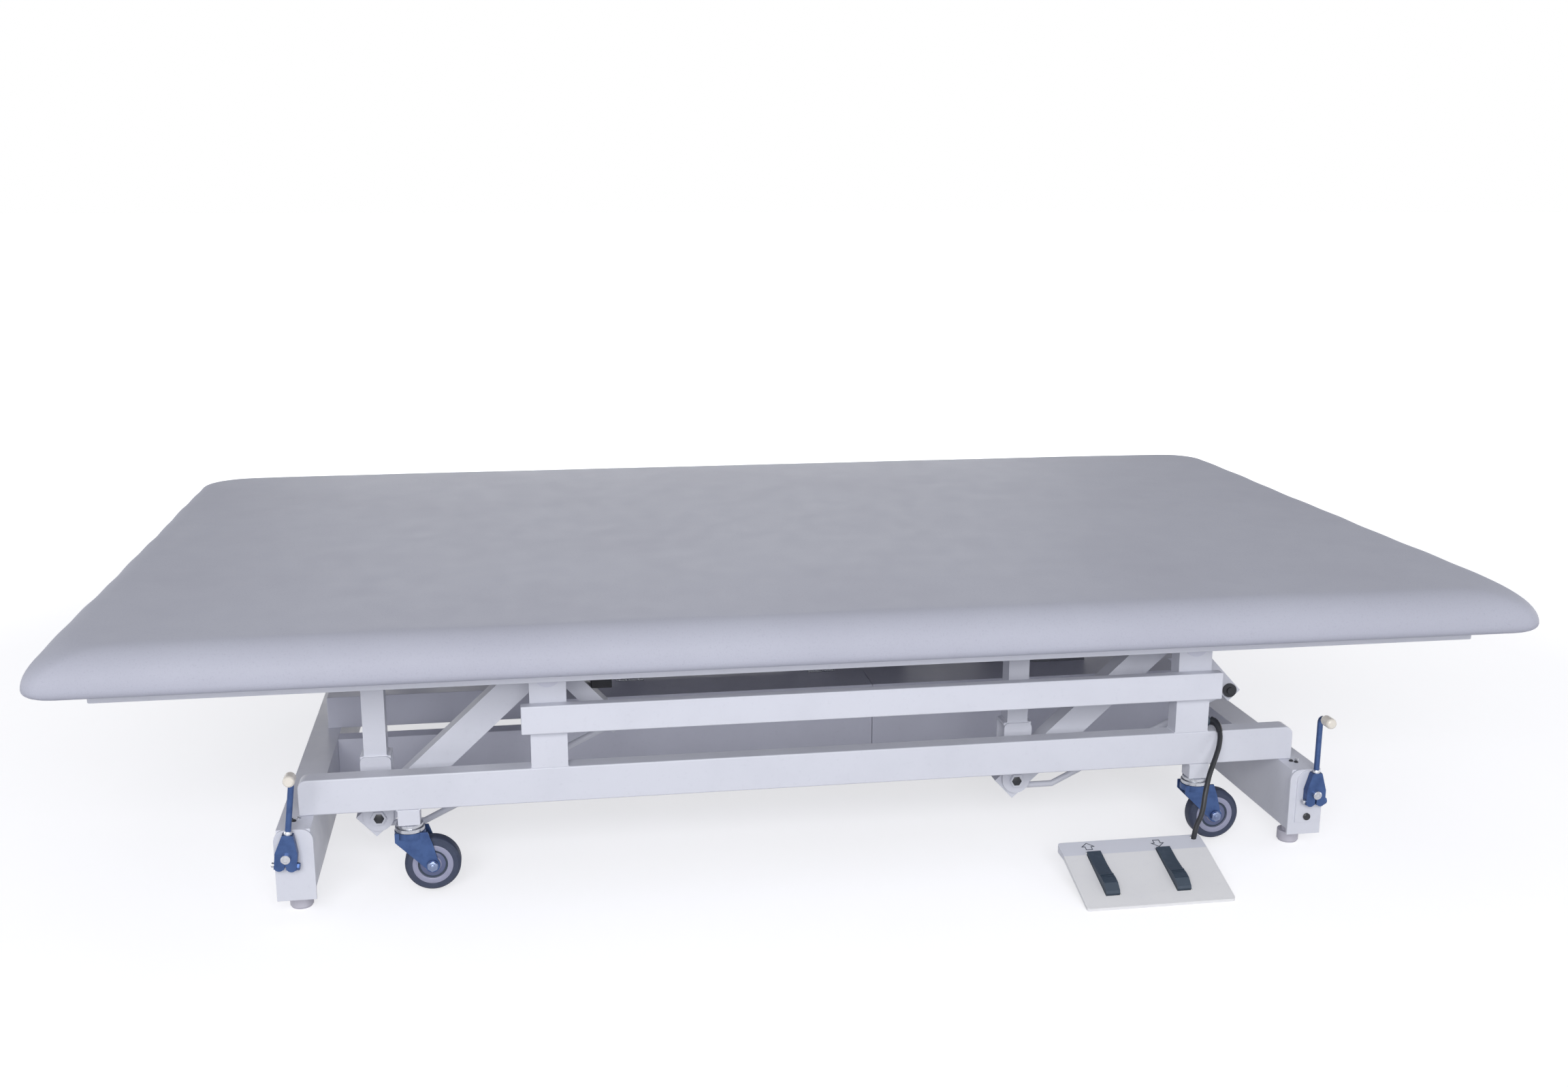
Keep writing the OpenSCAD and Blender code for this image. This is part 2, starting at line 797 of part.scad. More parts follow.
module tie_bars() {
    height = pivot_height - short_arm * cos(arm_drop);
    shift = short_arm * sin(arm_drop);
    color(paint) table()
        front_and_back()
            difference() {
                union() {
                    translate([0, tie_outer - tie_thickness / 2, height - tie_height / 2])
                        bar_x(left_pivot + shift, right_pivot + shift, tie_thickness, tie_height);
                    for (x = pivots)
                        translate([x + shift, 0, height]) {
                            pin_y(tie_inner, tie_outer, tie_height / 2);
                            pin_y(tie_outer, arm_inner - seat, tie_pin / 2 + 3);
                        }
                }
                for (x = pivots)
                    translate([x + shift, 0, height])
                        pin_y(tie_inner - 1, arm_inner, tie_pin / 2 + 0.02);
            }
}

module tie_pins() {
    height = pivot_height - short_arm * cos(arm_drop);
    shift = short_arm * sin(arm_drop);
    outer = arm_inner + arm_depth + seat;
    washer = 4;
    color(black) table()
        for (x = pivots)
            front_and_back()
                translate([x + shift, 0, height]) {
                    pin_y(tie_inner, outer + washer, tie_pin / 2);
                    pin_y(outer, outer + washer, tie_pin / 2 + 3.5);
                    pin_y(outer + washer, outer + washer + 2, tie_pin / 2 - 2);
                }
}

// Lever in the middle of the left shaft, pushed by the actuator
module drive_lever() {
    inner = yoke_thickness / 2 + 2;
    cheek = 8;
    half = 15;
    hub = shaft_diameter / 2 + 8.5;
    color(paint) table()
        translate([left_pivot, 0, pivot_height])
            rotate([0, -arm_drop, 0]) {
                difference() {
                    union() {
                        for (g = ends)
                            translate([0, g > 0 ? 0 : -2 * inner - cheek, 0])
                                plate_y(inner, inner + cheek) {
                                    translate([-half, -drive_lever_length])
                                        square([2 * half, drive_lever_length]);
                                    translate([0, -drive_lever_length])
                                        circle(r = half, $fn = fine);
                                    circle(r = hub, $fn = fine);
                                }
                        pin_y(-inner, inner, hub);
                    }
                    pin_y(-inner - cheek - 1, inner + cheek + 1, shaft_diameter / 2 + 0.02);
                }
                translate([0, 0, -drive_lever_length])
                    pin_y(-inner, inner, drive_pin / 2);
            }
}

yoke_thickness = 20;
rod_error = 0.0175;         // most that the rod strays from the pin, as a share of the lever
module push_rod_yoke() {
    slot_half = drive_pin / 2 + rod_error * drive_lever_length + seat;
    low = pivot_height - drive_lever_length;
    high = pivot_height - drive_lever_length * cos(arm_drop);
    slot_end = drive_pin / 2 + 1.5;
    margin = 12;
    color(steel) table() {
        difference() {
            plate_y(-yoke_thickness / 2, yoke_thickness / 2)
                translate([yoke_x - yoke_half, low - slot_end - margin])
                    square([2 * yoke_half, high - low + 2 * slot_end + 2 * margin]);
            plate_y(-yoke_thickness, yoke_thickness)
                translate([yoke_x - slot_half, low - slot_end])
                    square([2 * slot_half, high - low + 2 * slot_end]);
        }
        translate([yoke_x + yoke_half, 0, drive_height])
            rotate([0, 90, 0])
                cylinder(h = tube_x + actuator_tube - 12 - yoke_x - yoke_half, r = push_rod / 2,
                         $fn = fine);
    }
}

module actuator_housing() {
    saddle = 12;
    strap = 44;
    plate = 4;
    width = 2 * inner_outer - 18;
    color(steel) table()
        difference() {
            union() {
                translate([tube_x, 0, drive_height])
                    rotate([0, 90, 0])
                        cylinder(h = actuator_tube, r = actuator_diameter / 2, $fn = fine);
                translate([gearbox_x, -gearbox_size / 2, base_rail_top + plate])
                    cube([gearbox_size, gearbox_size,
                          drive_height - base_rail_top - plate + gearbox_size / 2]);
                // Plates that lie across the inner rails
                for (x = [tube_x, gearbox_x + 10])
                    translate([x, -width / 2, base_rail_top])
                        cube([strap, width, plate]);
                translate([tube_x, -16, base_rail_top])
                    cube([saddle, 32, drive_height - base_rail_top]);
            }
            translate([tube_x - 1, 0, drive_height])
                rotate([0, 90, 0])
                    cylinder(h = actuator_tube + 1, r = push_rod / 2 + running, $fn = fine);
        }
}

module actuator_motor() {
    radius = motor_diameter / 2;
    color(black) table()
        translate([gearbox_x + gearbox_size, 0, drive_height])
            rotate([0, 90, 0])
                rotate_extrude($fn = fine)
                    polygon([[0, 0], [radius, 0], [radius, motor_length - 12],
                             [radius - 8, motor_length], [0, motor_length]]);
}

module control_box() {
    x = 400;
    length = 120;
    width = 2 * inner_outer - 18;
    height = 56;
    inlet = 28;
    sill = 16;
    color(shade) table()
        difference() {
            translate([x, -width / 2, base_rail_top])
                cube([length, width, height]);
            // Recess for the mains inlet
            translate([x + (length - inlet) / 2, width / 2 - sill, base_rail_top + sill])
                cube([inlet, sill + 4, 20]);
        }
}

// Foot switch and its cord

// Side view of the foot switch's top sheet: X is the depth, towards the back
module switch_profile(drop) {
    polygon([[0, switch_back], [-crease, crease_height], [-switch_depth, switch_front],
             [-switch_depth, switch_front - drop], [-crease, crease_height - drop],
             [0, switch_back - drop]]);
}

module along_switch(width) {
    translate([switch_x - width / 2, switch_y, 0])
        rotate([90, 0, 90])
            linear_extrude(height = width)
                children();
}

// The foot switch's plan with its rounded corners, as a tall block
module switch_plan() {
    half = switch_width / 2 - switch_corner;
    near = switch_y - switch_corner;
    far = switch_y - switch_depth + switch_corner;
    for (g = ends, y = [near, far])
        translate([switch_x + g * half, y, -1])
            cylinder(h = switch_back + 2, r = switch_corner, $fn = fine);
    translate([switch_left, far, -1])
        cube([switch_width, near - far, switch_back + 2]);
    translate([switch_x - half, switch_y - switch_depth, -1])
        cube([2 * half, switch_depth, switch_back + 2]);
}

// Folded sheet that stands on its front edge and a leg at the back, with narrow side flanges
module foot_switch_plate() {
    wall = 1.6;
    rim = 6;
    leg_inset = 50;
    slot_back = pedal_back + 0.5;
    slot_length = pedal_length * cos(switch_slope) + 5;
    color(cream) table() {
        difference() {
            intersection() {
                switch_plan();
                union() {
                    along_switch(switch_width)
                        switch_profile(wall);
                    for (g = ends)
                        translate([g * (switch_width - wall) / 2, 0, 0])
                            along_switch(wall)
                                polygon([[0, switch_back - wall / 2], [-crease, crease_height - wall / 2],
                                         [-switch_depth, switch_front - wall / 2], [-switch_depth, 0],
                                         [-crease, crease_height - rim], [0, switch_back - 2 * rim]]);
                    along_switch(switch_width - 2 * leg_inset)
                        polygon([[0, 0], [0, switch_back], [-wall, switch_back - wall / 2], [-wall, 0]]);
                    along_switch(switch_width)
                        polygon([[-switch_depth, 0], [-switch_depth, switch_front],
                                 [wall - switch_depth, switch_front], [wall - switch_depth, 0]]);
                }
            }
            for (x = pedals_x)
                translate([x - pedal_width / 2 - 1, slot_back - slot_length, 3])
                    cube([pedal_width + 2, slot_length, switch_back]);
            translate([cord_hole_x, cord_hole_y, 25])
                cylinder(h = switch_back, r = cord_diameter / 2 + 0.8, $fn = fine);
        }
        // Ears that carry the pedal axles
        for (x = pedals_x, g = ends)
            translate([x + g * (pedal_width / 2 + 3), 0, 0])
                difference() {
                    translate([-1.5, pedal_axle_y - 5, pedal_axle_z - 5])
                        cube([3, 10, crease_height - pedal_axle_z + 3]);
                    translate([0, pedal_axle_y, pedal_axle_z])
                        rotate([0, 90, 0])
                            cylinder(h = 10, r = 2 + running, center = true, $fn = 24);
                }
    }
}

pedal_back = switch_y - 24;
pedal_axle_y = pedal_back - 7;
pedal_axle_z = crease_height - 7;

// Side view of a treadle on its axle: flat at the heel, rising towards the ribbed toe
module pedal_outline() {
    thick = 10;
    rise = 6;
    toe = 7 - pedal_length;
    polygon([[5, 1], [6, thick], [-22, thick + 0.5], [-40, thick + 2.5], [-56, thick + rise],
             [-66, thick + rise], [toe + 2, thick + 1], [toe, thick - 2], [toe, 4], [-22, 0]]);
}

module pedal(x) {
    ribs = 7;
    pitch = 3.4;
    color(black) table()
        translate([x, pedal_axle_y, pedal_axle_z]) {
            rotate([switch_slope, 0, 0]) {
                translate([-pedal_width / 2, 0, 0])
                    rotate([90, 0, 90])
                        linear_extrude(height = pedal_width)
                            pedal_outline();
                for (i = [0 : ribs - 1])
                    translate([-pedal_width / 2 + 0.8, -50 - i * pitch, 8])
                        cube([pedal_width - 1.6, 1.6, 8.6 - max(i - 4, 0) * 1.4]);
            }
            rotate([0, 90, 0])
                cylinder(h = pedal_width + 8.8, r = 2, center = true, $fn = 24);
        }
}

// Route of the foot switch cord, from the boot on the post to the hole in the foot switch
cord_points = [
    [587, -462, 190], [591, -468, 189], [593, -476, 184], [592, -485, 174], [587, -494, 162],
    [580, -502, 151], [572, -510, 140], [564, -518, 128], [558, -525, 115], [553, -531, 101],
    [550, -535, 87], [546, -537, 73], [541, -537, 61], [538, -538, 50], [536, -538, 36]
];
boot_root = [right_pivot + post_width / 2, -rail_middle, 190];

module cord_glands() {
    reach = cord_points[0] - boot_root;
    color(black) table() {
        // Boot on the side of the right post
        translate(boot_root)
            rotate([0, 90, 0])
                cylinder(h = 6, r = 8, $fn = 32);
        translate(boot_root + [4, 0, 0])
            rotate([0, acos(reach[2] / norm(reach)), atan2(reach[1], reach[0])])
                cylinder(h = 3, r = 6, $fn = 32);
    }
}

module foot_switch_cord() {
    color(black) table()
        sweep(cord_points, cord_diameter / 2, 8);
}

// A tube of n sides along a list of points
module sweep(path, radius, n) {
    last = len(path) - 1;
    function way(i) = path[min(i + 1, last)] - path[max(i - 1, 0)];
    function unit(v) = v / norm(v);
    function right(i) = unit(cross(way(i), [0.3, 1, 0.1]));
    function up(i) = unit(cross(right(i), way(i)));
    points = [for (i = [0 : last], k = [0 : n - 1])
        path[i] + radius * (cos(360 * k / n) * right(i) + sin(360 * k / n) * up(i))];
    sides = [for (i = [0 : last - 1], k = [0 : n - 1])
        let (a = i * n + k, b = i * n + (k + 1) % n)
            each [[a, b, b + n], [a, b + n, a + n]]];
    caps = [[for (k = [0 : n - 1]) n - 1 - k], [for (k = [0 : n - 1]) last * n + k]];
    polyhedron(points = points, faces = concat([for (f = sides) [f[2], f[1], f[0]]],
                                               [for (f = caps) [for (k = [len(f) - 1 : -1 : 0]) f[k]]]));
}

// Top

module top_rails() {
    color(paint) table()
        front_and_back()
            translate([0, top_frame_width / 2 - frame_tube / 2, top_frame_height])
                tube_x(top_frame_length, frame_tube, tube_wall);
}

member_length = top_frame_width - 2 * frame_tube;
module end_rails() {
    color(paint) table()
        for (s = ends)
            translate([s * (top_frame_length - frame_tube) / 2, 0, top_frame_height])
                tube_y(member_length, frame_tube, tube_wall);
}

module cross_members() {
    color(paint) table()
        for (x = [left_pivot - arm_run, right_pivot - arm_run, buffer_x, end_member_x])
            translate([x, 0, top_frame_height])
                tube_y(member_length, frame_tube, tube_wall);
}

// Posts that hang from the cross members and end in forks round the long arms
module hangers() {
    web_top = lower_pivot_height + fork_height;
    color(paint) table()
        for (x = pivots)
            front_and_back()
                translate([x - arm_run, 0, 0]) {
                    translate([-hanger_tube / 2, arm_y - hanger_tube / 2, web_top])
                        cube([hanger_tube, hanger_tube, top_frame_height - web_top]);
                    translate([-fork_width / 2, fork_inner, web_top - fork_leaf])
                        cube([fork_width, fork_gap, fork_leaf]);
                    for (y = [fork_inner - fork_leaf, fork_outer])
                        difference() {
                            plate_y(y, y + fork_leaf)
                                leaf_outline(web_top);
                            translate([0, 0, lower_pivot_height])
                                pin_y(y - 1, y + fork_leaf + 1, pivot_bolt / 2 + 0.02);
                        }
                }
}

module leaf_outline(top) {
    shoulder = 8;
    half = fork_width / 2;
    translate([0, lower_pivot_height])
        circle(r = half, $fn = fine);
    translate([-half, lower_pivot_height])
        square([fork_width, top - shoulder - lower_pivot_height]);
    translate([shoulder - half, lower_pivot_height])
        square([fork_width - 2 * shoulder, top - lower_pivot_height]);
    for (s = ends)
        translate([s * (half - shoulder), top - shoulder])
            circle(r = shoulder, $fn = fine);
}

module pivot_bolts() {
    inner = fork_inner - fork_leaf;
    outer = fork_outer + fork_leaf;
    nut = pivot_bolt / 2 + 4;
    color(steel) table()
        for (x = pivots)
            front_and_back()
                translate([x - arm_run, 0, lower_pivot_height]) {
                    pin_y(inner - 5, outer + 5, pivot_bolt / 2);
                    translate([0, outer, 0])
                        rotate([-90, 0, 0])
                            cylinder(h = 6, r = nut, $fn = 6);
                    translate([0, inner - 4, 0])
                        rotate([-90, 0, 0])
                            cylinder(h = 4, r = nut, $fn = 6);
                }
}

// Rubber stops under a cross member, on which the short arms rest in the lowest position
module stop_buffers() {
    far = stop_width / 2 + 0.5;
    near = stop_width / 2 - 0.5;
    low = top_frame_height - stop_height;
    slope = [cos(arm_drop), sin(arm_drop)];
    face = [left_pivot, pivot_height] + (short_arm_width / 2 + seat) * slope;
    // Height at which the sloping face of the short arm is met, for a place along the length
    function arm_face(x) = face[1] - (x - face[0]) / tan(arm_drop);
    left_low = face[0] + (face[1] - low) * tan(arm_drop);
    color(black) table()
        front_and_back()
            plate_y(arm_inner + 2, arm_inner + arm_depth - 2)
                polygon([[left_low, low], [buffer_x + far, low], [buffer_x + far, top_frame_height],
                         [buffer_x - near, top_frame_height], [buffer_x - near, arm_face(buffer_x - near)]]);
}

module board() {
    length = top_length - 2 * board_margin;
    width = top_width - 2 * board_margin;
    color(plywood) table()
        translate([-length / 2, -width / 2, top_frame_top])
            cube([length, width, board_thickness]);
}

// Plan outline of the padding, drawn in by an inset, with soft corners and bowed sides
function outline(inset) =
    let (a = top_length / 2 - inset, b = top_width / 2 - inset, r = top_corner + inset)
    [for (q = [0 : 3])
        let (sx = q == 0 || q == 3 ? 1 : -1, sy = q < 2 ? 1 : -1)
            each concat(
                [for (k = [0 : 5])
                    let (t = 90 * q + 18 * k)
                        [sx * (a - r) + r * cos(t), sy * (b - r) + r * sin(t)]],
                [for (k = [1 : 6])
                    let (u = 1 - 2 * k / 7, bow = side_draw * (1 - u * u))
                        q == 0 ? [u * (a - r), b - bow]
                        : q == 1 ? [bow - a, u * (b - r)]
                        : q == 2 ? [-u * (a - r), bow - b]
                        : [a - bow, -u * (b - r)]])];

// Height that the padding gains towards its middle and loses at its corners
function swell(p) =
    let (u = abs(2 * p[0] / top_length), v = abs(2 * p[1] / top_width))
    top_crown * (1 - pow(u, 4)) * (1 - pow(v, 4)) - corner_drop * pow(u * v, 10);

module mattress() {
    upper_edge = top_thickness - lower_edge;
    recess = [top_length / 2 - board_margin + 0.3, top_width / 2 - board_margin + 0.3];
    // The board's recess, drawn with as many points as the outline
    board_outline = [for (p = outline(board_margin + 60))
        [max(-recess[0], min(recess[0], p[0] * 1.4)), max(-recess[1], min(recess[1], p[1] * 1.4))]];
    inner = outline(upper_edge);
    rings = concat(
        [[for (p = board_outline) [p[0], p[1], top_frame_top + board_thickness]]],
        [[for (p = board_outline) [p[0], p[1], padding_bottom]]],
        [for (a = [0 : 22.5 : 67.5])
            [for (p = outline(lower_edge * (1 - sin(a))))
                [p[0], p[1], padding_bottom + lower_edge * (1 - cos(a))]]],
        [for (a = [0 : 15 : 75])
            [for (p = outline(upper_edge * (1 - cos(a))))
                [p[0], p[1], padding_bottom + lower_edge + upper_edge * sin(a) + swell(p) * sin(a)]]],
        [for (f = [1, 0.96, 0.84, 0.62, 0.3])
            [for (p = inner) [p[0] * f, p[1] * f, padding_top + swell(p * f)]]]);
    n = len(inner);
    last = len(rings) - 1;
    points = concat([for (r = rings) each r],
                    [[0, 0, top_frame_top + board_thickness], [0, 0, padding_top + top_crown]]);
    faces = concat(
        [for (i = [0 : last - 1], k = [0 : n - 1])
            let (a = i * n + k, b = i * n + (k + 1) % n)
                each [[a, b + n, b], [a, a + n, b + n]]],
        [for (k = [0 : n - 1]) [(last + 1) * n, k, (k + 1) % n]],
        [for (k = [0 : n - 1]) [(last + 1) * n + 1, last * n + (k + 1) % n, last * n + k]]);
    color(vinyl) table()
        polyhedron(points = points, faces = faces);
}

base_rails();
cross_beam(-1);  // cross_beam_left
cross_beam(1);  // cross_beam_right
end_plates();
posts();
upper_rails();
inner_rails();
drive_covers();
castor_blocks();
castor_bearings();
shaft_bushes();
actuator_housing();
actuator_motor();
control_box();
cord_glands();
foot_switch_plate();
foot_switch_cord();
torque_shaft(left_pivot);  // torque_shaft_left
torque_shaft(right_pivot);  // torque_shaft_right
drive_lever();
bell_cranks(left_pivot);  // bell_cranks_left
bell_cranks(right_pivot);  // bell_cranks_right
brace_rods(left_pivot);  // brace_rods_left
brace_rods(right_pivot);  // brace_rods_right
tie_bars();
tie_pins();
push_rod_yoke();
top_rails();
end_rails();
cross_members();
hangers();
pivot_bolts();
stop_buffers();
board();
mattress();
castor_fork(-1, -1);  // castor_fork_fl
castor_fork(1, -1);  // castor_fork_fr
castor_fork(-1, 1);  // castor_fork_bl
castor_fork(1, 1);  // castor_fork_br
wheel_hub(-1, -1);  // wheel_hub_fl
wheel_hub(1, -1);  // wheel_hub_fr
wheel_hub(-1, 1);  // wheel_hub_bl
wheel_hub(1, 1);  // wheel_hub_br
tyre(-1, -1);  // tyre_fl
tyre(1, -1);  // tyre_fr
tyre(-1, 1);  // tyre_bl
tyre(1, 1);  // tyre_br
lever_clamp(-1);  // lever_clamp_left
lever_clamp(1);  // lever_clamp_right
lever_rod(-1);  // lever_rod_left
lever_rod(1);  // lever_rod_right
lever_knob(-1);  // lever_knob_left
lever_knob(1);  // lever_knob_right
cam_shaft_part(-1);  // cam_shaft_left
cam_shaft_part(1);  // cam_shaft_right
feet(-1);  // feet_left
feet(1);  // feet_right
pedal(pedals_x[0]);  // pedal_up
pedal(pedals_x[1]);  // pedal_down
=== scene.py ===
"""Looks of the bobath table: materials for every CAD node, and the pieces that are too fine or too
soft for the CAD model. Lengths are in metres, and sizes in millimetres are multiplied by mm."""

import json
from math import atan2, cos, pi, radians, sin

import bmesh
import bpy
from mathutils import Matrix, Vector


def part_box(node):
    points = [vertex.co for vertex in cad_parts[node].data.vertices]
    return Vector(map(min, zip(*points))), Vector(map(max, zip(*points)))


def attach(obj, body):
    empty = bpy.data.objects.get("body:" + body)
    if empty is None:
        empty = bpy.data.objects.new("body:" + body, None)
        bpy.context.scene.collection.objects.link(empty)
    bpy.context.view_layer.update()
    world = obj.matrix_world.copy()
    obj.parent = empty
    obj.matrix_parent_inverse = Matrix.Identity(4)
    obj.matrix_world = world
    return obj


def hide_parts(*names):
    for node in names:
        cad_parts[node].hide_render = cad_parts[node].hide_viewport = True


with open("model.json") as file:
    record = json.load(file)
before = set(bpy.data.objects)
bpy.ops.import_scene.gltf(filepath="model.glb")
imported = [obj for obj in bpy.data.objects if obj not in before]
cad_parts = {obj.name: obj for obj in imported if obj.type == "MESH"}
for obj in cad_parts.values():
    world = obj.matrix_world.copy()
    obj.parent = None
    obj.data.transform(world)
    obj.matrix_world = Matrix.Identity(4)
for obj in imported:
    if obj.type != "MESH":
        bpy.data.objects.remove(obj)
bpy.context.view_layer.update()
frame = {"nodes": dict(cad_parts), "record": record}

mm = 0.001
SIDES = (-1, 1)

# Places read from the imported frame
board_low, board_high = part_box("board")
table_y = (board_low.y + board_high.y) / 2
pad_low, pad_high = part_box("mattress")
rail_low, rail_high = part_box("base_rails")


def at(x, y, z):
    """A place given in millimetres from the middle of the table, in the row frame."""
    return Vector((x * mm, y * mm + table_y, z * mm))


# Drawing sizes in millimetres. Places are from the middle of the table and from the floor.
BASE_OUTER = 474             # outer face of the long rails
BEAM_X = 714                 # middle of the right cross beam
BEAM_TOP = 128
COVER_SCREW = (2, 28)        # from the beam's middle and from the end plates' bottom
CASTOR_X = 568               # king pins of the right castors
CASTOR_TRAIL = 29            # from the king pin to the axle
AXLE_HEIGHT = 46
HANGER_Y = 380
HANGER_HALF = 21
HANGER_TUBE_HALF = 15.5
HANGER_WEB = 179.5           # height at which the fork brackets leave their posts
POST_HALF = 25
RAIL_DEPTH = 28
BLOCK_HALF = 15
LEVER_X = 722.64
LEVER_AXIS = 95
LEVER_LEAN = {"left": 7, "right": 0}                  # degrees
SWITCH_CREASE = -560         # where the foot switch's rear band begins
SWITCH_BAND = (-543.5, 40.0)                          # middle of that band, back and up
SWITCH_BAND_SLOPE = (7, 30)                           # its rise over its depth
ARROWS = ((376, 1), (479, -1))                        # place along the table, and up or down
CASTORS = {"fl": -1, "fr": 1, "bl": -1, "br": 1}      # each with the end of the table it is at


# Camera: the photograph's place, angles and focal length

CAMERA_PLACE = at(-398.04, -2572.49, 968.85)
CAMERA_YAW = 0.163385
CAMERA_PITCH = -0.225163
CAMERA_ROLL = 0.002936
SENSOR = 36.0
LENS = 36.845


def make_camera():
    data = bpy.data.cameras.new("camera")
    data.sensor_width = SENSOR
    data.lens = LENS
    data.clip_end = 100
    camera = bpy.data.objects.new("camera", data)
    bpy.context.scene.collection.objects.link(camera)
    turn = (Matrix.Rotation(-CAMERA_YAW, 4, "Z") @ Matrix.Rotation(pi / 2 + CAMERA_PITCH, 4, "X")
            @ Matrix.Rotation(CAMERA_ROLL, 4, "Z"))
    camera.matrix_world = Matrix.Translation(CAMERA_PLACE) @ turn
    bpy.context.scene.camera = camera


make_camera()


# Materials

def srgb(r, g, b):
    """A colour as it shows on a screen, 0 to 255, in linear light."""
    def linear(v):
        v /= 255
        return v / 12.92 if v <= 0.04045 else ((v + 0.055) / 1.055) ** 2.4
    return (linear(r), linear(g), linear(b), 1.0)


class Look:
    """One procedural material: a Principled shader and the textures that feed it."""

    def __init__(self, name, colour, roughness, metallic=0.0):
        self.material = bpy.data.materials.new(name)
        self.material.use_nodes = True
        self.tree = self.material.node_tree
        self.shader = self.tree.nodes["Principled BSDF"]
        self.roughness = roughness
        self.set("Base Color", colour)
        self.set("Roughness", roughness)
        self.set("Metallic", metallic)
        place = self.tree.nodes.new("ShaderNodeTexCoord")
        self.place = place.outputs["Object"]
        self.normal = None

    def set(self, socket, value):
        self.shader.inputs[socket].default_value = value
        return self

    def stretched(self, stretch):
        """The place on the object, scaled along each axis."""
        mapping = self.tree.nodes.new("ShaderNodeMapping")
        mapping.inputs["Scale"].default_value = stretch
        self.tree.links.new(self.place, mapping.inputs["Vector"])
        return mapping.outputs["Vector"]

    def noise(self, scale, detail=3.0, roughness=0.5, stretch=None):
        texture = self.tree.nodes.new("ShaderNodeTexNoise")
        texture.inputs["Scale"].default_value = scale
        texture.inputs["Detail"].default_value = detail
        texture.inputs["Roughness"].default_value = roughness
        place = self.stretched(stretch) if stretch else self.place
        self.tree.links.new(place, texture.inputs["Vector"])
        return texture.outputs["Fac"]

    def along(self, axis):
        """The place on the object along one axis, in metres."""
        split = self.tree.nodes.new("ShaderNodeSeparateXYZ")
        self.tree.links.new(self.place, split.inputs[0])
        return split.outputs[axis]

    def distance(self):
        """How far a place is from the object's origin, in metres."""
        length = self.tree.nodes.new("ShaderNodeVectorMath")
        length.operation = "LENGTH"
        self.tree.links.new(self.place, length.inputs[0])
        return length.outputs["Value"]

    def cells(self, scale):
        texture = self.tree.nodes.new("ShaderNodeTexVoronoi")
        texture.inputs["Scale"].default_value = scale
        self.tree.links.new(self.place, texture.inputs["Vector"])
        return texture.outputs["Distance"]

    def ramp(self, factor, low, high, start, end):
        """Runs from low to high while the factor goes from start to end."""
        ramp = self.tree.nodes.new("ShaderNodeMapRange")
        ramp.inputs["From Min"].default_value = start
        ramp.inputs["From Max"].default_value = end
        ramp.inputs["To Min"].default_value = low
        ramp.inputs["To Max"].default_value = high
        self.tree.links.new(factor, ramp.inputs["Value"])
        return ramp.outputs["Result"]

    def tint(self, factor, other, start, end, most):
        """Mixes another colour into the base, up to a share of it, where the factor is high."""
        mix = self.tree.nodes.new("ShaderNodeMix")
        mix.data_type = "RGBA"
        self.tree.links.new(self.ramp(factor, 0.0, most, start, end), mix.inputs["Factor"])
        base = self.shader.inputs["Base Color"]
        if base.is_linked:
            self.tree.links.new(base.links[0].from_socket, mix.inputs["A"])
        else:
            mix.inputs["A"].default_value = base.default_value
        mix.inputs["B"].default_value = other
        self.tree.links.new(mix.outputs["Result"], base)
        return self

    def vary_roughness(self, factor, spread):
        result = self.ramp(factor, self.roughness - spread, self.roughness + spread, 0.3, 0.7)
        self.tree.links.new(result, self.shader.inputs["Roughness"])
        return self

    def bump(self, height, depth, strength):
        """Adds relief of the given depth, in metres, on top of any that is there."""
        bump = self.tree.nodes.new("ShaderNodeBump")
        bump.inputs["Distance"].default_value = depth
        bump.inputs["Strength"].default_value = strength
        self.tree.links.new(height, bump.inputs["Height"])
        if self.normal is not None:
            self.tree.links.new(self.normal, bump.inputs["Normal"])
        self.normal = bump.outputs["Normal"]
        self.tree.links.new(self.normal, self.shader.inputs["Normal"])
        return self


def powder_coat(name, colour, grime):
    """Semi-gloss powder coat: fine orange peel, a soft mottle and a little grime."""
    look = Look(name, colour, 0.38)
    look.tint(look.noise(9, 4, 0.6), grime, 0.45, 0.8, 0.16)
    look.tint(look.noise(160, 2, 0.6), grime, 0.6, 0.75, 0.10)
    look.vary_roughness(look.noise(40, 3), 0.06)
    look.bump(look.noise(700, 2, 0.5), 0.00012, 0.35)
    return look


def vinyl():
    """Upholstery vinyl: fine leather grain over a soft unevenness."""
    look = Look("vinyl", srgb(184, 186, 200), 0.58)
    look.tint(look.noise(3.5, 3, 0.6), srgb(173, 174, 189), 0.4, 0.75, 0.5)
    look.tint(look.noise(420, 2, 0.7), srgb(159, 160, 177), 0.56, 0.72, 0.35)
    look.vary_roughness(look.noise(25, 3), 0.03)
    look.bump(look.noise(6, 2), 0.004, 0.08)
    look.bump(look.cells(520), 0.0004, 0.30)
    look.bump(look.noise(1300, 2, 0.6), 0.0002, 0.20)
    look.set("Specular IOR Level", 0.30)
    return look


def plated(name, colour, roughness, stain):
    """Plated steel: drawn scratches along the piece and a cloudy film."""
    look = Look(name, colour, roughness, 0.9)
    look.tint(look.noise(55, 4, 0.65), stain, 0.45, 0.75, 0.55)
    look.vary_roughness(look.noise(120, 3), 0.10)
    look.bump(look.noise(90, 2, 0.5, (1, 1, 14)), 0.0001, 0.25)
    return look


def moulded(name, colour, roughness, pale):
    """Moulded plastic or rubber: a fine erosion texture and slight scuffing."""
    look = Look(name, colour, roughness)
    look.tint(look.noise(70, 4, 0.65), pale, 0.5, 0.8, 0.35)
    look.vary_roughness(look.noise(60, 3), 0.08)
    look.bump(look.noise(1400, 2, 0.6), 0.0002, 0.30)
    return look


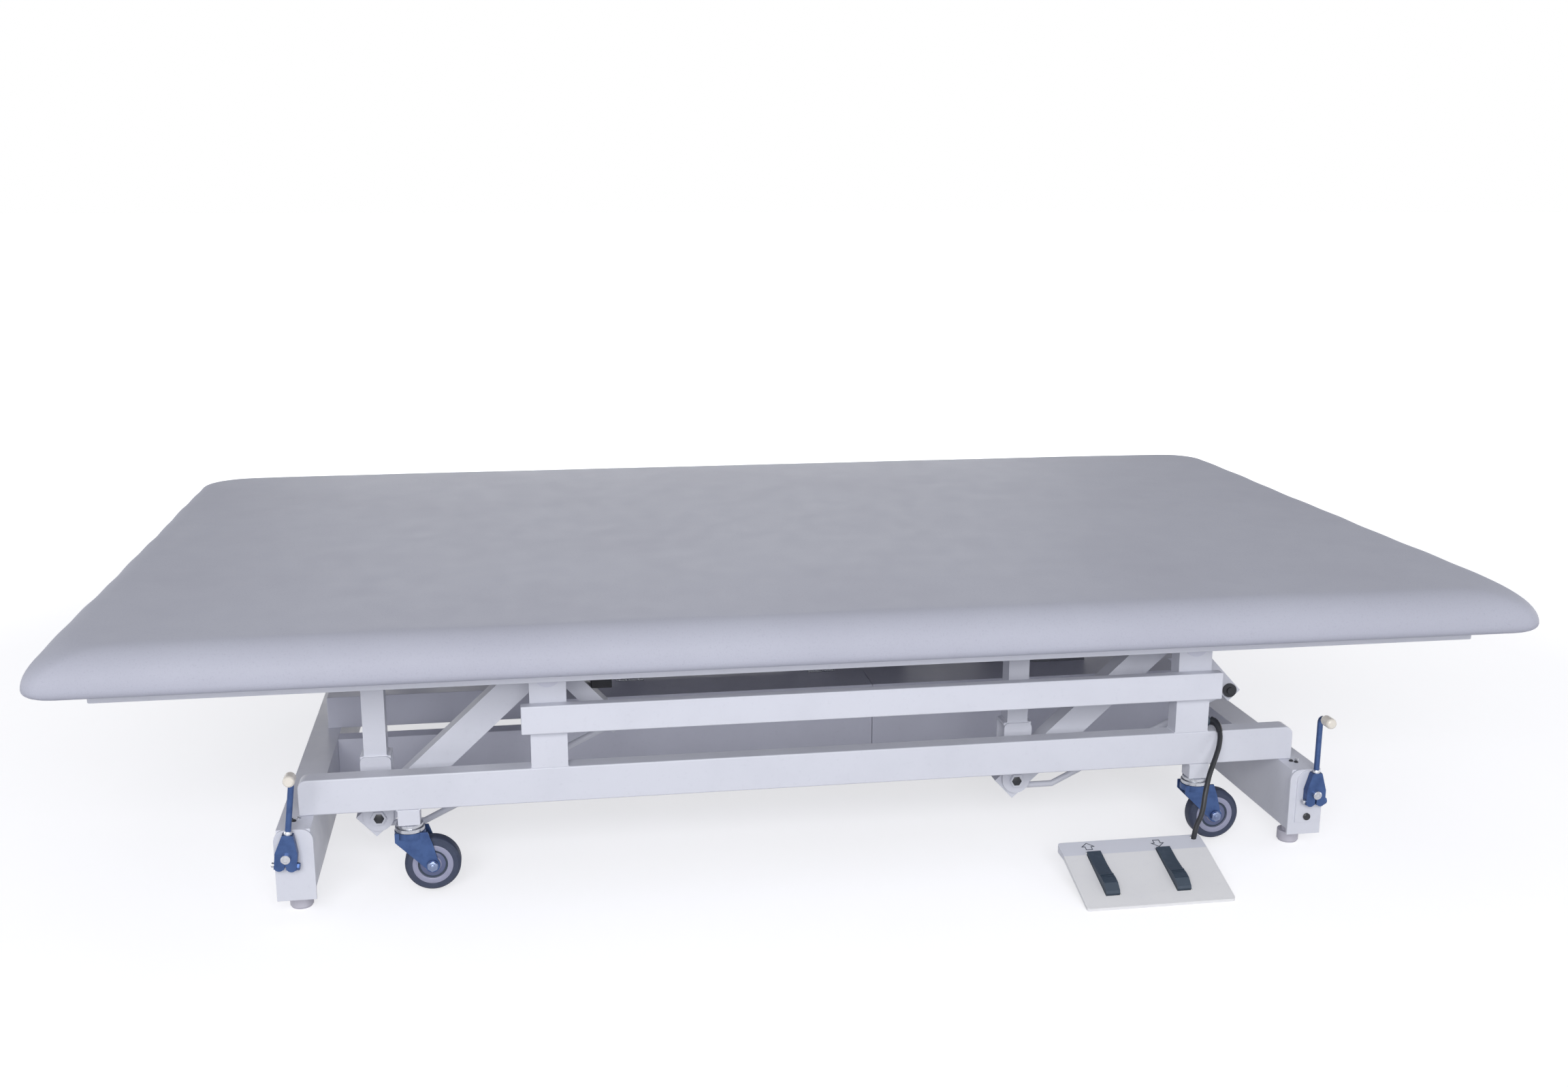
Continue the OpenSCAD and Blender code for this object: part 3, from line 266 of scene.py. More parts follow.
def plywood():
    """The board's underside: plywood under a thin grey lacquer, with its grain showing."""
    look = Look("plywood", srgb(158, 157, 168), 0.6)
    look.tint(look.noise(14, 5, 0.6, (1, 12, 60)), srgb(132, 128, 138), 0.4, 0.7, 0.7)
    look.bump(look.noise(200, 3, 0.6, (1, 6, 6)), 0.0003, 0.3)
    return look


def switch_shell_painted_shade():
    """The foot switch's pale sheet, with painted shade on its rear band: darker and a little cooler."""
    look = powder_coat("switch_shell", srgb(236, 236, 238), srgb(204, 204, 214))
    crease = at(0, SWITCH_CREASE, 0).y
    # Painted shade: behind the crease the sheet is tinted darker and cooler, for the shade on the rear
    # band's other slope.
    look.tint(look.along("Y"), srgb(214, 217, 230), crease - 0.5 * mm, crease + 0.5 * mm, 0.7)
    return look


SLOT_LOOKS = {
    "frame_paint": powder_coat("frame_paint", srgb(216, 218, 228), srgb(176, 178, 190)),
    # Painted shade: the inner members get a darker, cooler copy of the frame paint.
    "inner_paint": powder_coat("inner_paint", srgb(206, 208, 222), srgb(170, 171, 186)),
    "vinyl": vinyl(),
    "plywood": plywood(),
    "zinc": plated("zinc", srgb(72, 94, 138), 0.42, srgb(46, 62, 102)),
    "bright_steel": plated("bright_steel", srgb(198, 200, 206), 0.28, srgb(130, 134, 146)),
    "black_steel": moulded("black_steel", srgb(38, 40, 46), 0.35, srgb(70, 72, 80)),
    "black_plastic": moulded("black_plastic", srgb(52, 65, 80), 0.5, srgb(86, 98, 114)),
    "tyre_rubber": moulded("tyre_rubber", srgb(50, 58, 80), 0.6, srgb(74, 83, 106)),
    # Painted light: the foot rubber is paler than its own colour, to make up for the shade the feet stand
    # in.
    "foot_rubber": moulded("foot_rubber", srgb(198, 196, 207), 0.6, srgb(216, 214, 224)),
    "stop_rubber": moulded("stop_rubber", srgb(36, 37, 42), 0.7, srgb(60, 62, 70)),
    "hub_plastic": moulded("hub_plastic", srgb(150, 152, 176), 0.4, srgb(110, 114, 142)),
    "switch_shell": switch_shell_painted_shade(),
    "knob_cream": moulded("knob_cream", srgb(232, 226, 216), 0.25, srgb(206, 198, 188)),
    "cord_black": moulded("cord_black", srgb(30, 32, 38), 0.45, srgb(56, 60, 70)),
    "box_grey": moulded("box_grey", srgb(128, 130, 140), 0.5, srgb(158, 160, 170)),
}


def finish_of(slot):
    return SLOT_LOOKS[slot].material


ARROW_INK = moulded("arrow_ink", srgb(74, 78, 92), 0.5, srgb(100, 104, 118)).material
# Painted shade: a darker copy of the hub plastic, for the wheels' recessed webs.
SHADED_HUB_WEB = moulded("hub_web_shaded", srgb(92, 100, 134), 0.4, srgb(72, 80, 112)).material
AXLE_STEEL = plated("axle_steel", srgb(136, 148, 176), 0.38, srgb(84, 96, 130)).material

# CAD nodes that the photograph shows in another finish than the rest of their slot
NODE_LOOKS = {"pivot_bolts": finish_of("frame_paint")}


# Rounding of the CAD nodes' edges, in metres; nodes that aren't named keep theirs sharp
EDGE_ROUNDING = {
    "base_rails": 2.0 * mm, "cross_beam_left": 2.5 * mm, "cross_beam_right": 2.5 * mm,
    "posts": 1.8 * mm, "upper_rails": 1.8 * mm, "inner_rails": 1.5 * mm, "end_plates": 0.8 * mm,
    "bell_cranks_left": 2.5 * mm, "bell_cranks_right": 2.5 * mm, "tie_bars": 0.8 * mm,
    "top_rails": 1.2 * mm, "end_rails": 1.2 * mm, "cross_members": 1.2 * mm, "hangers": 1.0 * mm,
    "castor_blocks": 1.2 * mm, "drive_lever": 1.0 * mm, "push_rod_yoke": 1.0 * mm,
    "actuator_housing": 1.2 * mm, "control_box": 2.0 * mm,
    "pedal_up": 0.4 * mm, "pedal_down": 0.4 * mm,
    "stop_buffers": 1.0 * mm, "board": 0.8 * mm,
}


def dress_cad_nodes():
    """Gives each CAD node its slot's material and rounds the edges of the box-like ones."""
    slots = {s["node"]: s["material_slot"] for s in frame["record"]["subparts"]}
    for name, node in frame["nodes"].items():
        node.data.materials.clear()
        node.data.materials.append(NODE_LOOKS.get(name) or finish_of(slots[name]))
        if name in EDGE_ROUNDING:
            weld = node.modifiers.new("weld", "WELD")
            weld.merge_threshold = 0.01 * mm
            flat = node.modifiers.new("flat", "DECIMATE")
            flat.decimate_type = "DISSOLVE"
            flat.angle_limit = radians(1)
            bevel = node.modifiers.new("bevel", "BEVEL")
            bevel.width = EDGE_ROUNDING[name]
            bevel.segments = 3
            bevel.limit_method = "ANGLE"
            bevel.angle_limit = radians(40)
            bevel.harden_normals = True


dress_cad_nodes()


# Mesh helpers

def new_piece(name, mesh, body, slot, material=None, smooth=True):
    """An object from a bmesh, with its finish, riding on a body."""
    data = bpy.data.meshes.new(name)
    bmesh.ops.recalc_face_normals(mesh, faces=mesh.faces)
    mesh.to_mesh(data)
    mesh.free()
    data.materials.append(material or finish_of(slot))
    piece = bpy.data.objects.new(name, data)
    bpy.context.scene.collection.objects.link(piece)
    for polygon in data.polygons:
        polygon.use_smooth = smooth
    if smooth:
        data.set_sharp_from_angle(angle=radians(35))
    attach(piece, body)
    return piece


def across(axis):
    """Two directions square to an axis and to each other."""
    axis = axis.normalized()
    side = axis.cross(Vector((0, 0, 1)))
    if side.length < 0.1:
        side = axis.cross(Vector((1, 0, 0)))
    side.normalize()
    return side, axis.cross(side)


def add_rings(mesh, rings):
    """Skins a list of closed rings of points with quads, and caps the first and last."""
    made = [[mesh.verts.new(p) for p in ring] for ring in rings]
    count = len(made[0])
    for low, high in zip(made, made[1:]):
        for k in range(count):
            mesh.faces.new((low[k], low[(k + 1) % count], high[(k + 1) % count], high[k]))
    mesh.faces.new(made[0])
    mesh.faces.new(made[-1])


def add_turned(mesh, place, axis, profile, sides=24, phase=0.0):
    """A turned or, with few sides, a prismatic shape. The profile is a list of (along, radius)."""
    side, up = across(axis)
    axis = axis.normalized()
    rings = []
    for along, radius in profile:
        rings.append([place + axis * along + side * (radius * cos(phase + 2 * pi * k / sides))
                      + up * (radius * sin(phase + 2 * pi * k / sides)) for k in range(sides)])
    add_rings(mesh, rings)


def add_band(mesh, place, axis, section, sides=64):
    """A turned ring with a hole. The section is a closed list of (along, radius)."""
    side, up = across(axis)
    axis = axis.normalized()
    made = []
    for k in range(sides):
        out = side * cos(2 * pi * k / sides) + up * sin(2 * pi * k / sides)
        made.append([mesh.verts.new(place + axis * along + out * radius) for along, radius in section])
    count = len(section)
    for ring, following in zip(made, made[1:] + made[:1]):
        for i in range(count):
            j = (i + 1) % count
            mesh.faces.new((ring[i], ring[j], following[j], following[i]))


def add_tube(mesh, path, radii, sides=12):
    """A tube of changing radius along a path of points."""
    rings = []
    side = None
    for i, point in enumerate(path):
        way = (path[min(i + 1, len(path) - 1)] - path[max(i - 1, 0)]).normalized()
        if side is None:
            side = across(way)[0]
        side = (side - way * side.dot(way)).normalized()
        up = way.cross(side)
        rings.append([point + side * (radii[i] * cos(2 * pi * k / sides))
                      + up * (radii[i] * sin(2 * pi * k / sides)) for k in range(sides)])
    add_rings(mesh, rings)


def add_box(mesh, low, high, rounding):
    """A box with its edges rounded."""
    made = bmesh.ops.create_cube(mesh, size=1.0)
    middle = (low + high) / 2
    size = high - low
    for v in made["verts"]:
        v.co = Vector((v.co.x * size.x, v.co.y * size.y, v.co.z * size.z)) + middle
    edges = list(dict.fromkeys(e for v in made["verts"] for e in v.link_edges))
    bmesh.ops.bevel(mesh, geom=edges, offset=rounding, segments=2, affect="EDGES", profile=0.5)


def smooth_path(points, steps):
    """A Catmull-Rom curve through the points."""
    result = []
    for i in range(len(points) - 1):
        before = points[max(i - 1, 0)]
        a, b = points[i], points[i + 1]
        after = points[min(i + 2, len(points) - 1)]
        for k in range(steps):
            t = k / steps
            result.append(0.5 * (2 * a + (b - before) * t + (2 * before - 5 * a + 4 * b - after) * t ** 2
                                 + (3 * a - before - 3 * b + after) * t ** 3))
    result.append(points[-1])
    return result


# Foot switch cord

CORD_DIAMETER = 7.5 * mm
SLEEVE_LENGTH = 24 * mm
SLEEVE_WALL = 2.6            # at the boot, in millimetres
SLEEVE_TAPER = 2.0           # how much thinner it is at its other end
CORD_POINTS = [at(*p) for p in (
    (587, -462, 190), (591, -468, 189), (593, -476, 184), (592, -485, 174), (587, -494, 162),
    (580, -502, 151), (572, -510, 140), (564, -518, 128), (558, -525, 115), (553, -531, 101),
    (550, -535, 87), (546, -537, 73), (541, -537, 61), (538, -538, 50), (536, -538, 36))]


def path_length(path):
    return sum((b - a).length for a, b in zip(path, path[1:]))


def make_cord():
    path = smooth_path(CORD_POINTS, 4)
    mesh = bmesh.new()
    add_tube(mesh, path, [CORD_DIAMETER / 2] * len(path), 16)
    cord = new_piece("switch_cord", mesh, "base", "cord_black")
    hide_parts("foot_switch_cord")

    # Tapered sleeve where the cord leaves the boot on the post
    sleeve_path = [p for i, p in enumerate(path) if path_length(path[:i + 1]) < SLEEVE_LENGTH]
    count = len(sleeve_path)
    radii = [CORD_DIAMETER / 2 + (SLEEVE_WALL - SLEEVE_TAPER * i / (count - 1)) * mm for i in range(count)]
    mesh = bmesh.new()
    add_tube(mesh, sleeve_path, radii, 16)
    sleeve = new_piece("cord_sleeve", mesh, "base", "cord_black")


make_cord()


# Upholstered top

CORNER = 24 * mm             # radius of the corners in plan
LOWER_EDGE = 13 * mm         # radius of the lower edge
SIDE_DRAW = 3 * mm           # how far the sides are drawn in between the corners
CROWN = 5 * mm
CORNER_DROP = 5 * mm
UNDER_TURN = 58 * mm         # how far the cover's underside reaches in from its edge
BOARD_SHOWS = 4 * mm         # how much of the board shows below the cover
END_WAVE = 1.3 * mm          # height of the cover's waves along the ends of the table
END_WAVE_LENGTHS = (0.19, 0.43)
SIDE_WAVE = 0.5 * mm
SIDE_WAVE_LENGTH = 0.31
HEM_STAPLES = 46             # on each side
PAD_LENGTH = pad_high.x - pad_low.x
PAD_WIDTH = pad_high.y - pad_low.y
PAD_BOTTOM = board_low.z + BOARD_SHOWS
PAD_THICK = pad_high.z - PAD_BOTTOM - CROWN


def pad_outline(inset):
    """Plan outline of the padding: soft corners, sides drawn in between them."""
    corner_steps = 10
    half_x, half_y = PAD_LENGTH / 2 - inset, PAD_WIDTH / 2 - inset
    corner = CORNER + inset
    points = []
    for quarter in range(4):
        sx = 1 if quarter in (0, 3) else -1
        sy = 1 if quarter < 2 else -1
        for k in range(corner_steps):
            turn = pi / 2 * (quarter + k / corner_steps)
            points.append((sx * (half_x - corner) + corner * cos(turn),
                           sy * (half_y - corner) + corner * sin(turn)))
        steps = 90 if quarter % 2 == 0 else 54
        for k in range(steps):
            u = 1 - 2 * k / steps
            bow = SIDE_DRAW * (1 - u * u)
            side_x, side_y = u * (half_x - corner), u * (half_y - corner)
            points.append([(side_x, half_y - bow), (bow - half_x, side_y),
                           (-side_x, bow - half_y), (half_x - bow, -side_y)][quarter])
    return points


def swell(x, y):
    """What the padding gains towards its middle and loses at its corners."""
    u, v = abs(2 * x / PAD_LENGTH), abs(2 * y / PAD_WIDTH)
    return CROWN * (1 - u ** 4) * (1 - v ** 4) - CORNER_DROP * (u * v) ** 10


def pucker(x, y, depth):
    """Slight waves of the cover along the edges, strongest at the ends of the table."""
    short, long = END_WAVE_LENGTHS
    along_end = END_WAVE * sin(y * 2 * pi / short + 0.6) * sin(y * 2 * pi / long)
    along_side = SIDE_WAVE * sin(x * 2 * pi / SIDE_WAVE_LENGTH)
    share = min(1.0, max(0.0, (abs(x) - (PAD_LENGTH / 2 - 0.12)) / 0.1))
    return depth * (along_end * share + along_side * (1 - share))


def make_mattress():
    """The padding in its cover, as rings from its underside, round its edges and in over its top."""
    upper_edge = PAD_THICK - LOWER_EDGE
    mesh = bmesh.new()
    rings = []
    for inset in (UNDER_TURN, UNDER_TURN * 0.6, LOWER_EDGE):
        rings.append([(x, y, PAD_BOTTOM) for x, y in pad_outline(inset)])
    for step in range(1, 6):
        turn = pi / 2 * step / 6
        rings.append([(x, y, PAD_BOTTOM + LOWER_EDGE * (1 - cos(turn)))
                      for x, y in pad_outline(LOWER_EDGE * (1 - sin(turn)))])
    for step in range(13):
        turn = pi / 2 * step / 13
        inset = upper_edge * (1 - cos(turn))
        rings.append([(x, y, PAD_BOTTOM + LOWER_EDGE + upper_edge * sin(turn) + swell(x, y) * sin(turn)
                       + pucker(x, y, sin(2 * turn))) for x, y in pad_outline(inset)])
    inner = pad_outline(upper_edge)
    for share in (1, 0.985, 0.96, 0.92, 0.86, 0.78, 0.68, 0.56, 0.42, 0.27, 0.12):
        rings.append([(x * share, y * share, PAD_BOTTOM + PAD_THICK + swell(x * share, y * share)
                       + pucker(x * share, y * share, 0.6 * share ** 12)) for x, y in inner])
    add_rings(mesh, [[Vector((x, y + table_y, z)) for x, y, z in ring] for ring in rings])
    piece = new_piece("padding_cover", mesh, "top", "vinyl")
    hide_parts("mattress")


def make_hem():
    """The cover's hem, turned under the board outside the rails, and its staples."""
    hem_width = 20 * mm
    thick = 0.8 * mm
    inset = 1 * mm
    strips = bmesh.new()
    staples = bmesh.new()
    for side in SIDES:
        outer = side * ((board_high.y - board_low.y) / 2 - inset)
        inner = outer - side * hem_width
        low = Vector((board_low.x + inset, min(outer, inner) + table_y, board_low.z - thick))
        high = Vector((board_high.x - inset, max(outer, inner) + table_y, board_low.z))
        add_box(strips, low, high, 0.3 * mm)
        for k in range(HEM_STAPLES):
            x = board_low.x + (k + 0.5) * (board_high.x - board_low.x) / HEM_STAPLES
            y = (outer + inner) / 2 + table_y
            z = board_low.z - thick
            lean = 1.5 * mm * sin(7.3 * k)
            crown = z - 0.5 * mm
            path = [Vector((x - 5 * mm, y - lean, z + 0.2 * mm)), Vector((x - 4.6 * mm, y - lean, crown)),
                    Vector((x + 4.6 * mm, y + lean, crown)), Vector((x + 5 * mm, y + lean, z + 0.2 * mm))]
            add_tube(staples, path, [0.5 * mm] * 4, 6)
    new_piece("cover_hem", strips, "top", "vinyl")
    new_piece("hem_staples", staples, "top", "bright_steel")


make_mattress()
make_hem()


# Small metal parts

def make_beam_screws():
    """Screws in the top of the cross beams, outside the long rails: two dark ones and a bright one."""
    head = [(-0.2 * mm, 3.2 * mm), (1.2 * mm, 3.2 * mm), (2.0 * mm, 2.5 * mm), (2.2 * mm, 1.4 * mm),
            (1.2 * mm, 1.2 * mm)]
    dark = bmesh.new()
    bright = bmesh.new()
    for end in SIDES:
        for side in SIDES:
            for mesh, dx, dy in ((dark, -7, 9), (bright, 3, 6), (dark, -2, 15)):
                place = at(end * BEAM_X + dx, side * (BASE_OUTER + dy), BEAM_TOP)
                add_turned(mesh, place, Vector((0, 0, 1)), head, 16)
    new_piece("beam_screws", dark, "base", "black_steel")
    new_piece("beam_screws_bright", bright, "base", "bright_steel")


def make_axle_bolts():
    """Washers, hexagons and studs at both ends of the castor axles."""
    washer = [(0.05 * mm, 7.6 * mm), (0.8 * mm, 7.6 * mm)]
    hexagon = [(0.8 * mm, 7.5 * mm), (3.6 * mm, 7.5 * mm), (4.3 * mm, 6.2 * mm)]
    stud = [(4.2 * mm, 3.4 * mm), (5.2 * mm, 3.2 * mm), (5.6 * mm, 2.4 * mm)]
    nut_stand = 4 * mm
    for name, end in CASTORS.items():
        low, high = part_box("castor_fork_" + name)
        middle = (low.y + high.y) / 2
        axle = at(end * CASTOR_X + CASTOR_TRAIL, 0, AXLE_HEIGHT)
        mesh = bmesh.new()
        for face in SIDES:
            out = Vector((0, face, 0))
            reach = (high.y - low.y) / 2 - nut_stand
            place = Vector((axle.x, middle + face * reach, axle.z))
            add_turned(mesh, place, out, washer, 24)
            add_turned(mesh, place, out, hexagon, 6, 0.4)
            add_turned(mesh, place, out, stud, 16)
        new_piece("axle_bolt_" + name, mesh, "castor_" + name, "bright_steel", AXLE_STEEL)


def make_wheel_sides():
    """On both sides of each wheel: the ring that holds the tyre, a black ring in its groove as painted
    shade, and the web in a darker copy of the hub plastic as painted shade.
    """
    # Sections in millimetres: along the axle from the hub's face, and the radius
    ring = ((-4.2, 20.0), (0.0, 20.2), (0.4, 20.8), (0.4, 26.9), (0.1, 27.5), (-1.2, 27.7), (-4.2, 26.0))
    # Painted shade: a black ring sits in the groove to darken it.
    shade_ring = ((-5.0, 17.0), (-2.9, 17.0), (-2.9, 20.3), (-5.0, 20.3))
    web = ((-3.0, 11.2), (-0.6, 11.4), (-1.0, 16.4), (-1.5, 17.2), (-4.0, 17.2))
    parts = (("rim_ring", ring, "hub_plastic", None), ("groove_shade_ring", shade_ring, "black_plastic", None),
             ("hub_web_shaded", web, "hub_plastic", SHADED_HUB_WEB))
    for name in CASTORS:
        low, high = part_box("wheel_hub_" + name)
        middle = (low + high) / 2
        half = (high.y - low.y) / 2
        for part, section, slot, material in parts:
            mesh = bmesh.new()
            for face in SIDES:
                add_band(mesh, middle, Vector((0, face, 0)),
                         [(half + depth * mm, radius * mm) for depth, radius in section])
            new_piece(part + "_" + name, mesh, "wheel_" + name, slot, material)


def make_lever_fittings():
    """On each foot lever: the screw in the end of its shaft, the ferrule at its neck, the pinch bolt."""
    screw_stand = 5 * mm
    screw = [(-screw_stand + 0.1 * mm, 6.2 * mm), (-0.4 * mm, 6.2 * mm), (0.7 * mm, 5.1 * mm),
             (0.8 * mm, 3.2 * mm), (0.3 * mm, 3.0 * mm)]
    ferrule = [(31.8 * mm, 5.2 * mm), (33.4 * mm, 5.4 * mm), (35.8 * mm, 4.7 * mm), (36.6 * mm, 4.2 * mm)]
    pinch_head = [(0, 3.6 * mm), (3.2 * mm, 3.6 * mm), (4.0 * mm, 2.6 * mm)]
    pinch_nut = [(0, 5.0 * mm), (3.2 * mm, 5.0 * mm), (3.9 * mm, 4.2 * mm)]
    rod_radius = 4 * mm
    pinch_drop = 12 * mm         # how far the pinch bolt is below the lever's axis
    jaw_half = 14.6 * mm         # half the width of the clamp's jaws
    for name, end in (("left", -1), ("right", 1)):
        lean = radians(LEVER_LEAN[name])
        up = Vector((sin(lean), 0, cos(lean)))
        over = Vector((cos(lean), 0, -sin(lean)))
        axis = at(end * LEVER_X, 0, LEVER_AXIS)
        bright = bmesh.new()
        clamp_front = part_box("lever_clamp_" + name)[0].y
        add_turned(bright, Vector((axis.x, clamp_front, axis.z)), Vector((0, -1, 0)), screw, 32)
        # The rod's straight part is at the back of its box, because the bend comes forward
        rod = Vector((axis.x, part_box("lever_rod_" + name)[1].y - rod_radius, axis.z))
        add_turned(bright, rod, up, ferrule, 32)
        add_turned(bright, rod - up * pinch_drop - over * jaw_half, -over, pinch_head, 24)
        new_piece("lever_fittings_" + name, bright, "lever_" + name, "bright_steel")
        nut = bmesh.new()
        add_turned(nut, rod - up * pinch_drop + over * jaw_half, over, pinch_nut, 6)
        new_piece("lever_nut_" + name, nut, "lever_" + name, "zinc")


def make_dark_screws():
    """The dark hexagons in the pale heads of the pivot bolts, and the dark head of the cover's screw."""
    low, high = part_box("pivot_bolts")
    bolt_head = 12 * mm
    hexagon = [(-0.5 * mm, 7.2 * mm), (1.6 * mm, 7.2 * mm), (2.2 * mm, 6.0 * mm)]
    mesh = bmesh.new()
    for x in (low.x + bolt_head, high.x - bolt_head):
        for face, y in ((-1, low.y), (1, high.y)):
            place = Vector((x, y, (low.z + high.z) / 2))
            add_turned(mesh, place, Vector((0, face, 0)), hexagon, 6)
    new_piece("pivot_hexagons", mesh, "top", "black_steel")

    plates_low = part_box("end_plates")[0]
    dx, dz = COVER_SCREW
    place = Vector(((BEAM_X + dx) * mm, plates_low.y, plates_low.z + dz * mm))
    head = [(-1.8 * mm, 5.3 * mm), (0.4 * mm, 5.3 * mm), (1.2 * mm, 4.2 * mm)]
    mesh = bmesh.new()
    add_turned(mesh, place, Vector((0, -1, 0)), head, 24)
    new_piece("cover_screw", mesh, "base", "black_steel")


def make_rail_caps():
    """Caps in the open ends of the long top rails."""
    low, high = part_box("top_rails")
    mesh = bmesh.new()
    side_length = high.z - low.z
    rim = 0.6 * mm               # how much smaller than the tube a cap is all round, and its rounding
    for end in (low.x, high.x):
        out = -1 if end == low.x else 1
        for edge, inward in ((low.y, 1), (high.y, -1)):
            y = sorted((edge + inward * rim, edge + inward * (side_length - rim)))
            x = sorted((end - out * 2 * mm, end + out * 0.8 * mm))
            add_box(mesh, Vector((x[0], y[0], low.z + rim)), Vector((x[1], y[1], high.z - rim)), rim)
    new_piece("rail_caps", mesh, "top", "frame_paint")


def add_weld(mesh, start, end, radius=1.6 * mm):
    """A weld bead with its slight ripples, along a straight seam."""
    length = (end - start).length
    steps = max(4, int(length / (2.2 * mm)))
    path = [start.lerp(end, k / steps) for k in range(steps + 1)]
    radii = [radius * (0.86 + 0.14 * (k % 2)) for k in range(steps + 1)]
    add_tube(mesh, path, radii, 8)


def make_base_welds():
    """Beads where the posts stand on the long rails and the castor blocks hang under them."""
    mesh = bmesh.new()
    posts_low, posts_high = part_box("posts")
    half_post = POST_HALF * mm
    pivots = (posts_low.x + half_post, posts_high.x - half_post)
    depth = RAIL_DEPTH * mm
    for x in pivots:
        for side in SIDES:
            outer = side * BASE_OUTER * mm + table_y
            inner = outer - side * depth
            for edge in (-half_post, half_post):
                seam = [Vector((x + edge, y, rail_high.z)) for y in (outer, inner)]
                add_weld(mesh, *seam)
    for end in SIDES:
        for side in SIDES:
            outer = side * BASE_OUTER * mm + table_y
            inner = outer - side * depth
            for edge in (-BLOCK_HALF, BLOCK_HALF):
                x = (end * CASTOR_X + edge) * mm
                seam = [Vector((x, y, rail_low.z)) for y in (outer, inner)]
                add_weld(mesh, *seam, 1.3 * mm)
    new_piece("base_welds", mesh, "base", "frame_paint")


def make_hanger_welds():
    """Beads round the tops of the fork brackets."""
    low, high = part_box("hangers")
    mesh = bmesh.new()
    half_tube = HANGER_TUBE_HALF * mm
    half_hanger = HANGER_HALF * mm
    web = HANGER_WEB * mm
    for x in (low.x + half_hanger, high.x - half_hanger):
        for side in SIDES:
            y = side * HANGER_Y * mm + table_y
            corners = [Vector((x + a * half_tube, y + b * half_tube, web))
                       for a, b in ((-1, -1), (1, -1), (1, 1), (-1, 1))]
            for a, b in zip(corners, corners[1:] + corners[:1]):
                add_weld(mesh, a, b, 1.2 * mm)
    new_piece("hanger_welds", mesh, "top", "frame_paint")


make_beam_screws()
make_axle_bolts()
make_wheel_sides()
make_lever_fittings()
make_dark_screws()
make_rail_caps()
make_base_welds()
make_hanger_welds()


# Foot switch marks

def make_arrows():
    """Outlines of an up and a down arrow on the rear band of the foot switch."""
    turn = Matrix.Rotation(atan2(*SWITCH_BAND_SLOPE), 3, "X")
    mesh = bmesh.new()
    thick = 0.25 * mm
    # In millimetres: the corners of the up arrow, and the width of its line
    outline = [(0, 9), (9, 1), (4.5, 1), (4.5, -6), (-4.5, -6), (-4.5, 1), (-9, 1)]
    width = 1.1
    for x, flip in ARROWS:
        centre = at(x, *SWITCH_BAND)
        for i, a in enumerate(outline):
            b = outline[(i + 1) % len(outline)]
            start = Vector((a[0], a[1] * flip, 0))
            end = Vector((b[0], b[1] * flip, 0))
            way = (end - start).normalized()
            side = Vector((-way.y, way.x, 0)) * width / 2
            start -= way * width / 2
            end += way * width / 2
            ring = [start - side, end - side, end + side, start + side]
            flat = [centre + turn @ (p * mm) for p in ring]
            lift = turn @ Vector((0, 0, thick))
            add_rings(mesh, [flat, [p + lift for p in flat]])
    new_piece("switch_arrows", mesh, "base", "black_plastic", ARROW_INK, smooth=False)


make_arrows()


# Floor, light and world

# Glow that lifts the floor to white for the eye: near the table, where its shadows stay, and far
FLOOR_GLOW = (0.60, 1.0)
FLOOR_NEAR_FAR = (1.7, 3.8)
WORLD_LIGHT = 0.30


def seen_rays(tree):
    """1 for rays that end in the eye, directly or by a gloss or a pane, and 0 for those that light."""
    path = tree.nodes.new("ShaderNodeLightPath")
    total = path.outputs["Is Camera Ray"]
    for kind in ("Is Glossy Ray", "Is Transmission Ray"):
        either = tree.nodes.new("ShaderNodeMath")
        either.operation = "MAXIMUM"
        tree.links.new(total, either.inputs[0])
        tree.links.new(path.outputs[kind], either.inputs[1])
        total = either.outputs[0]
    return total


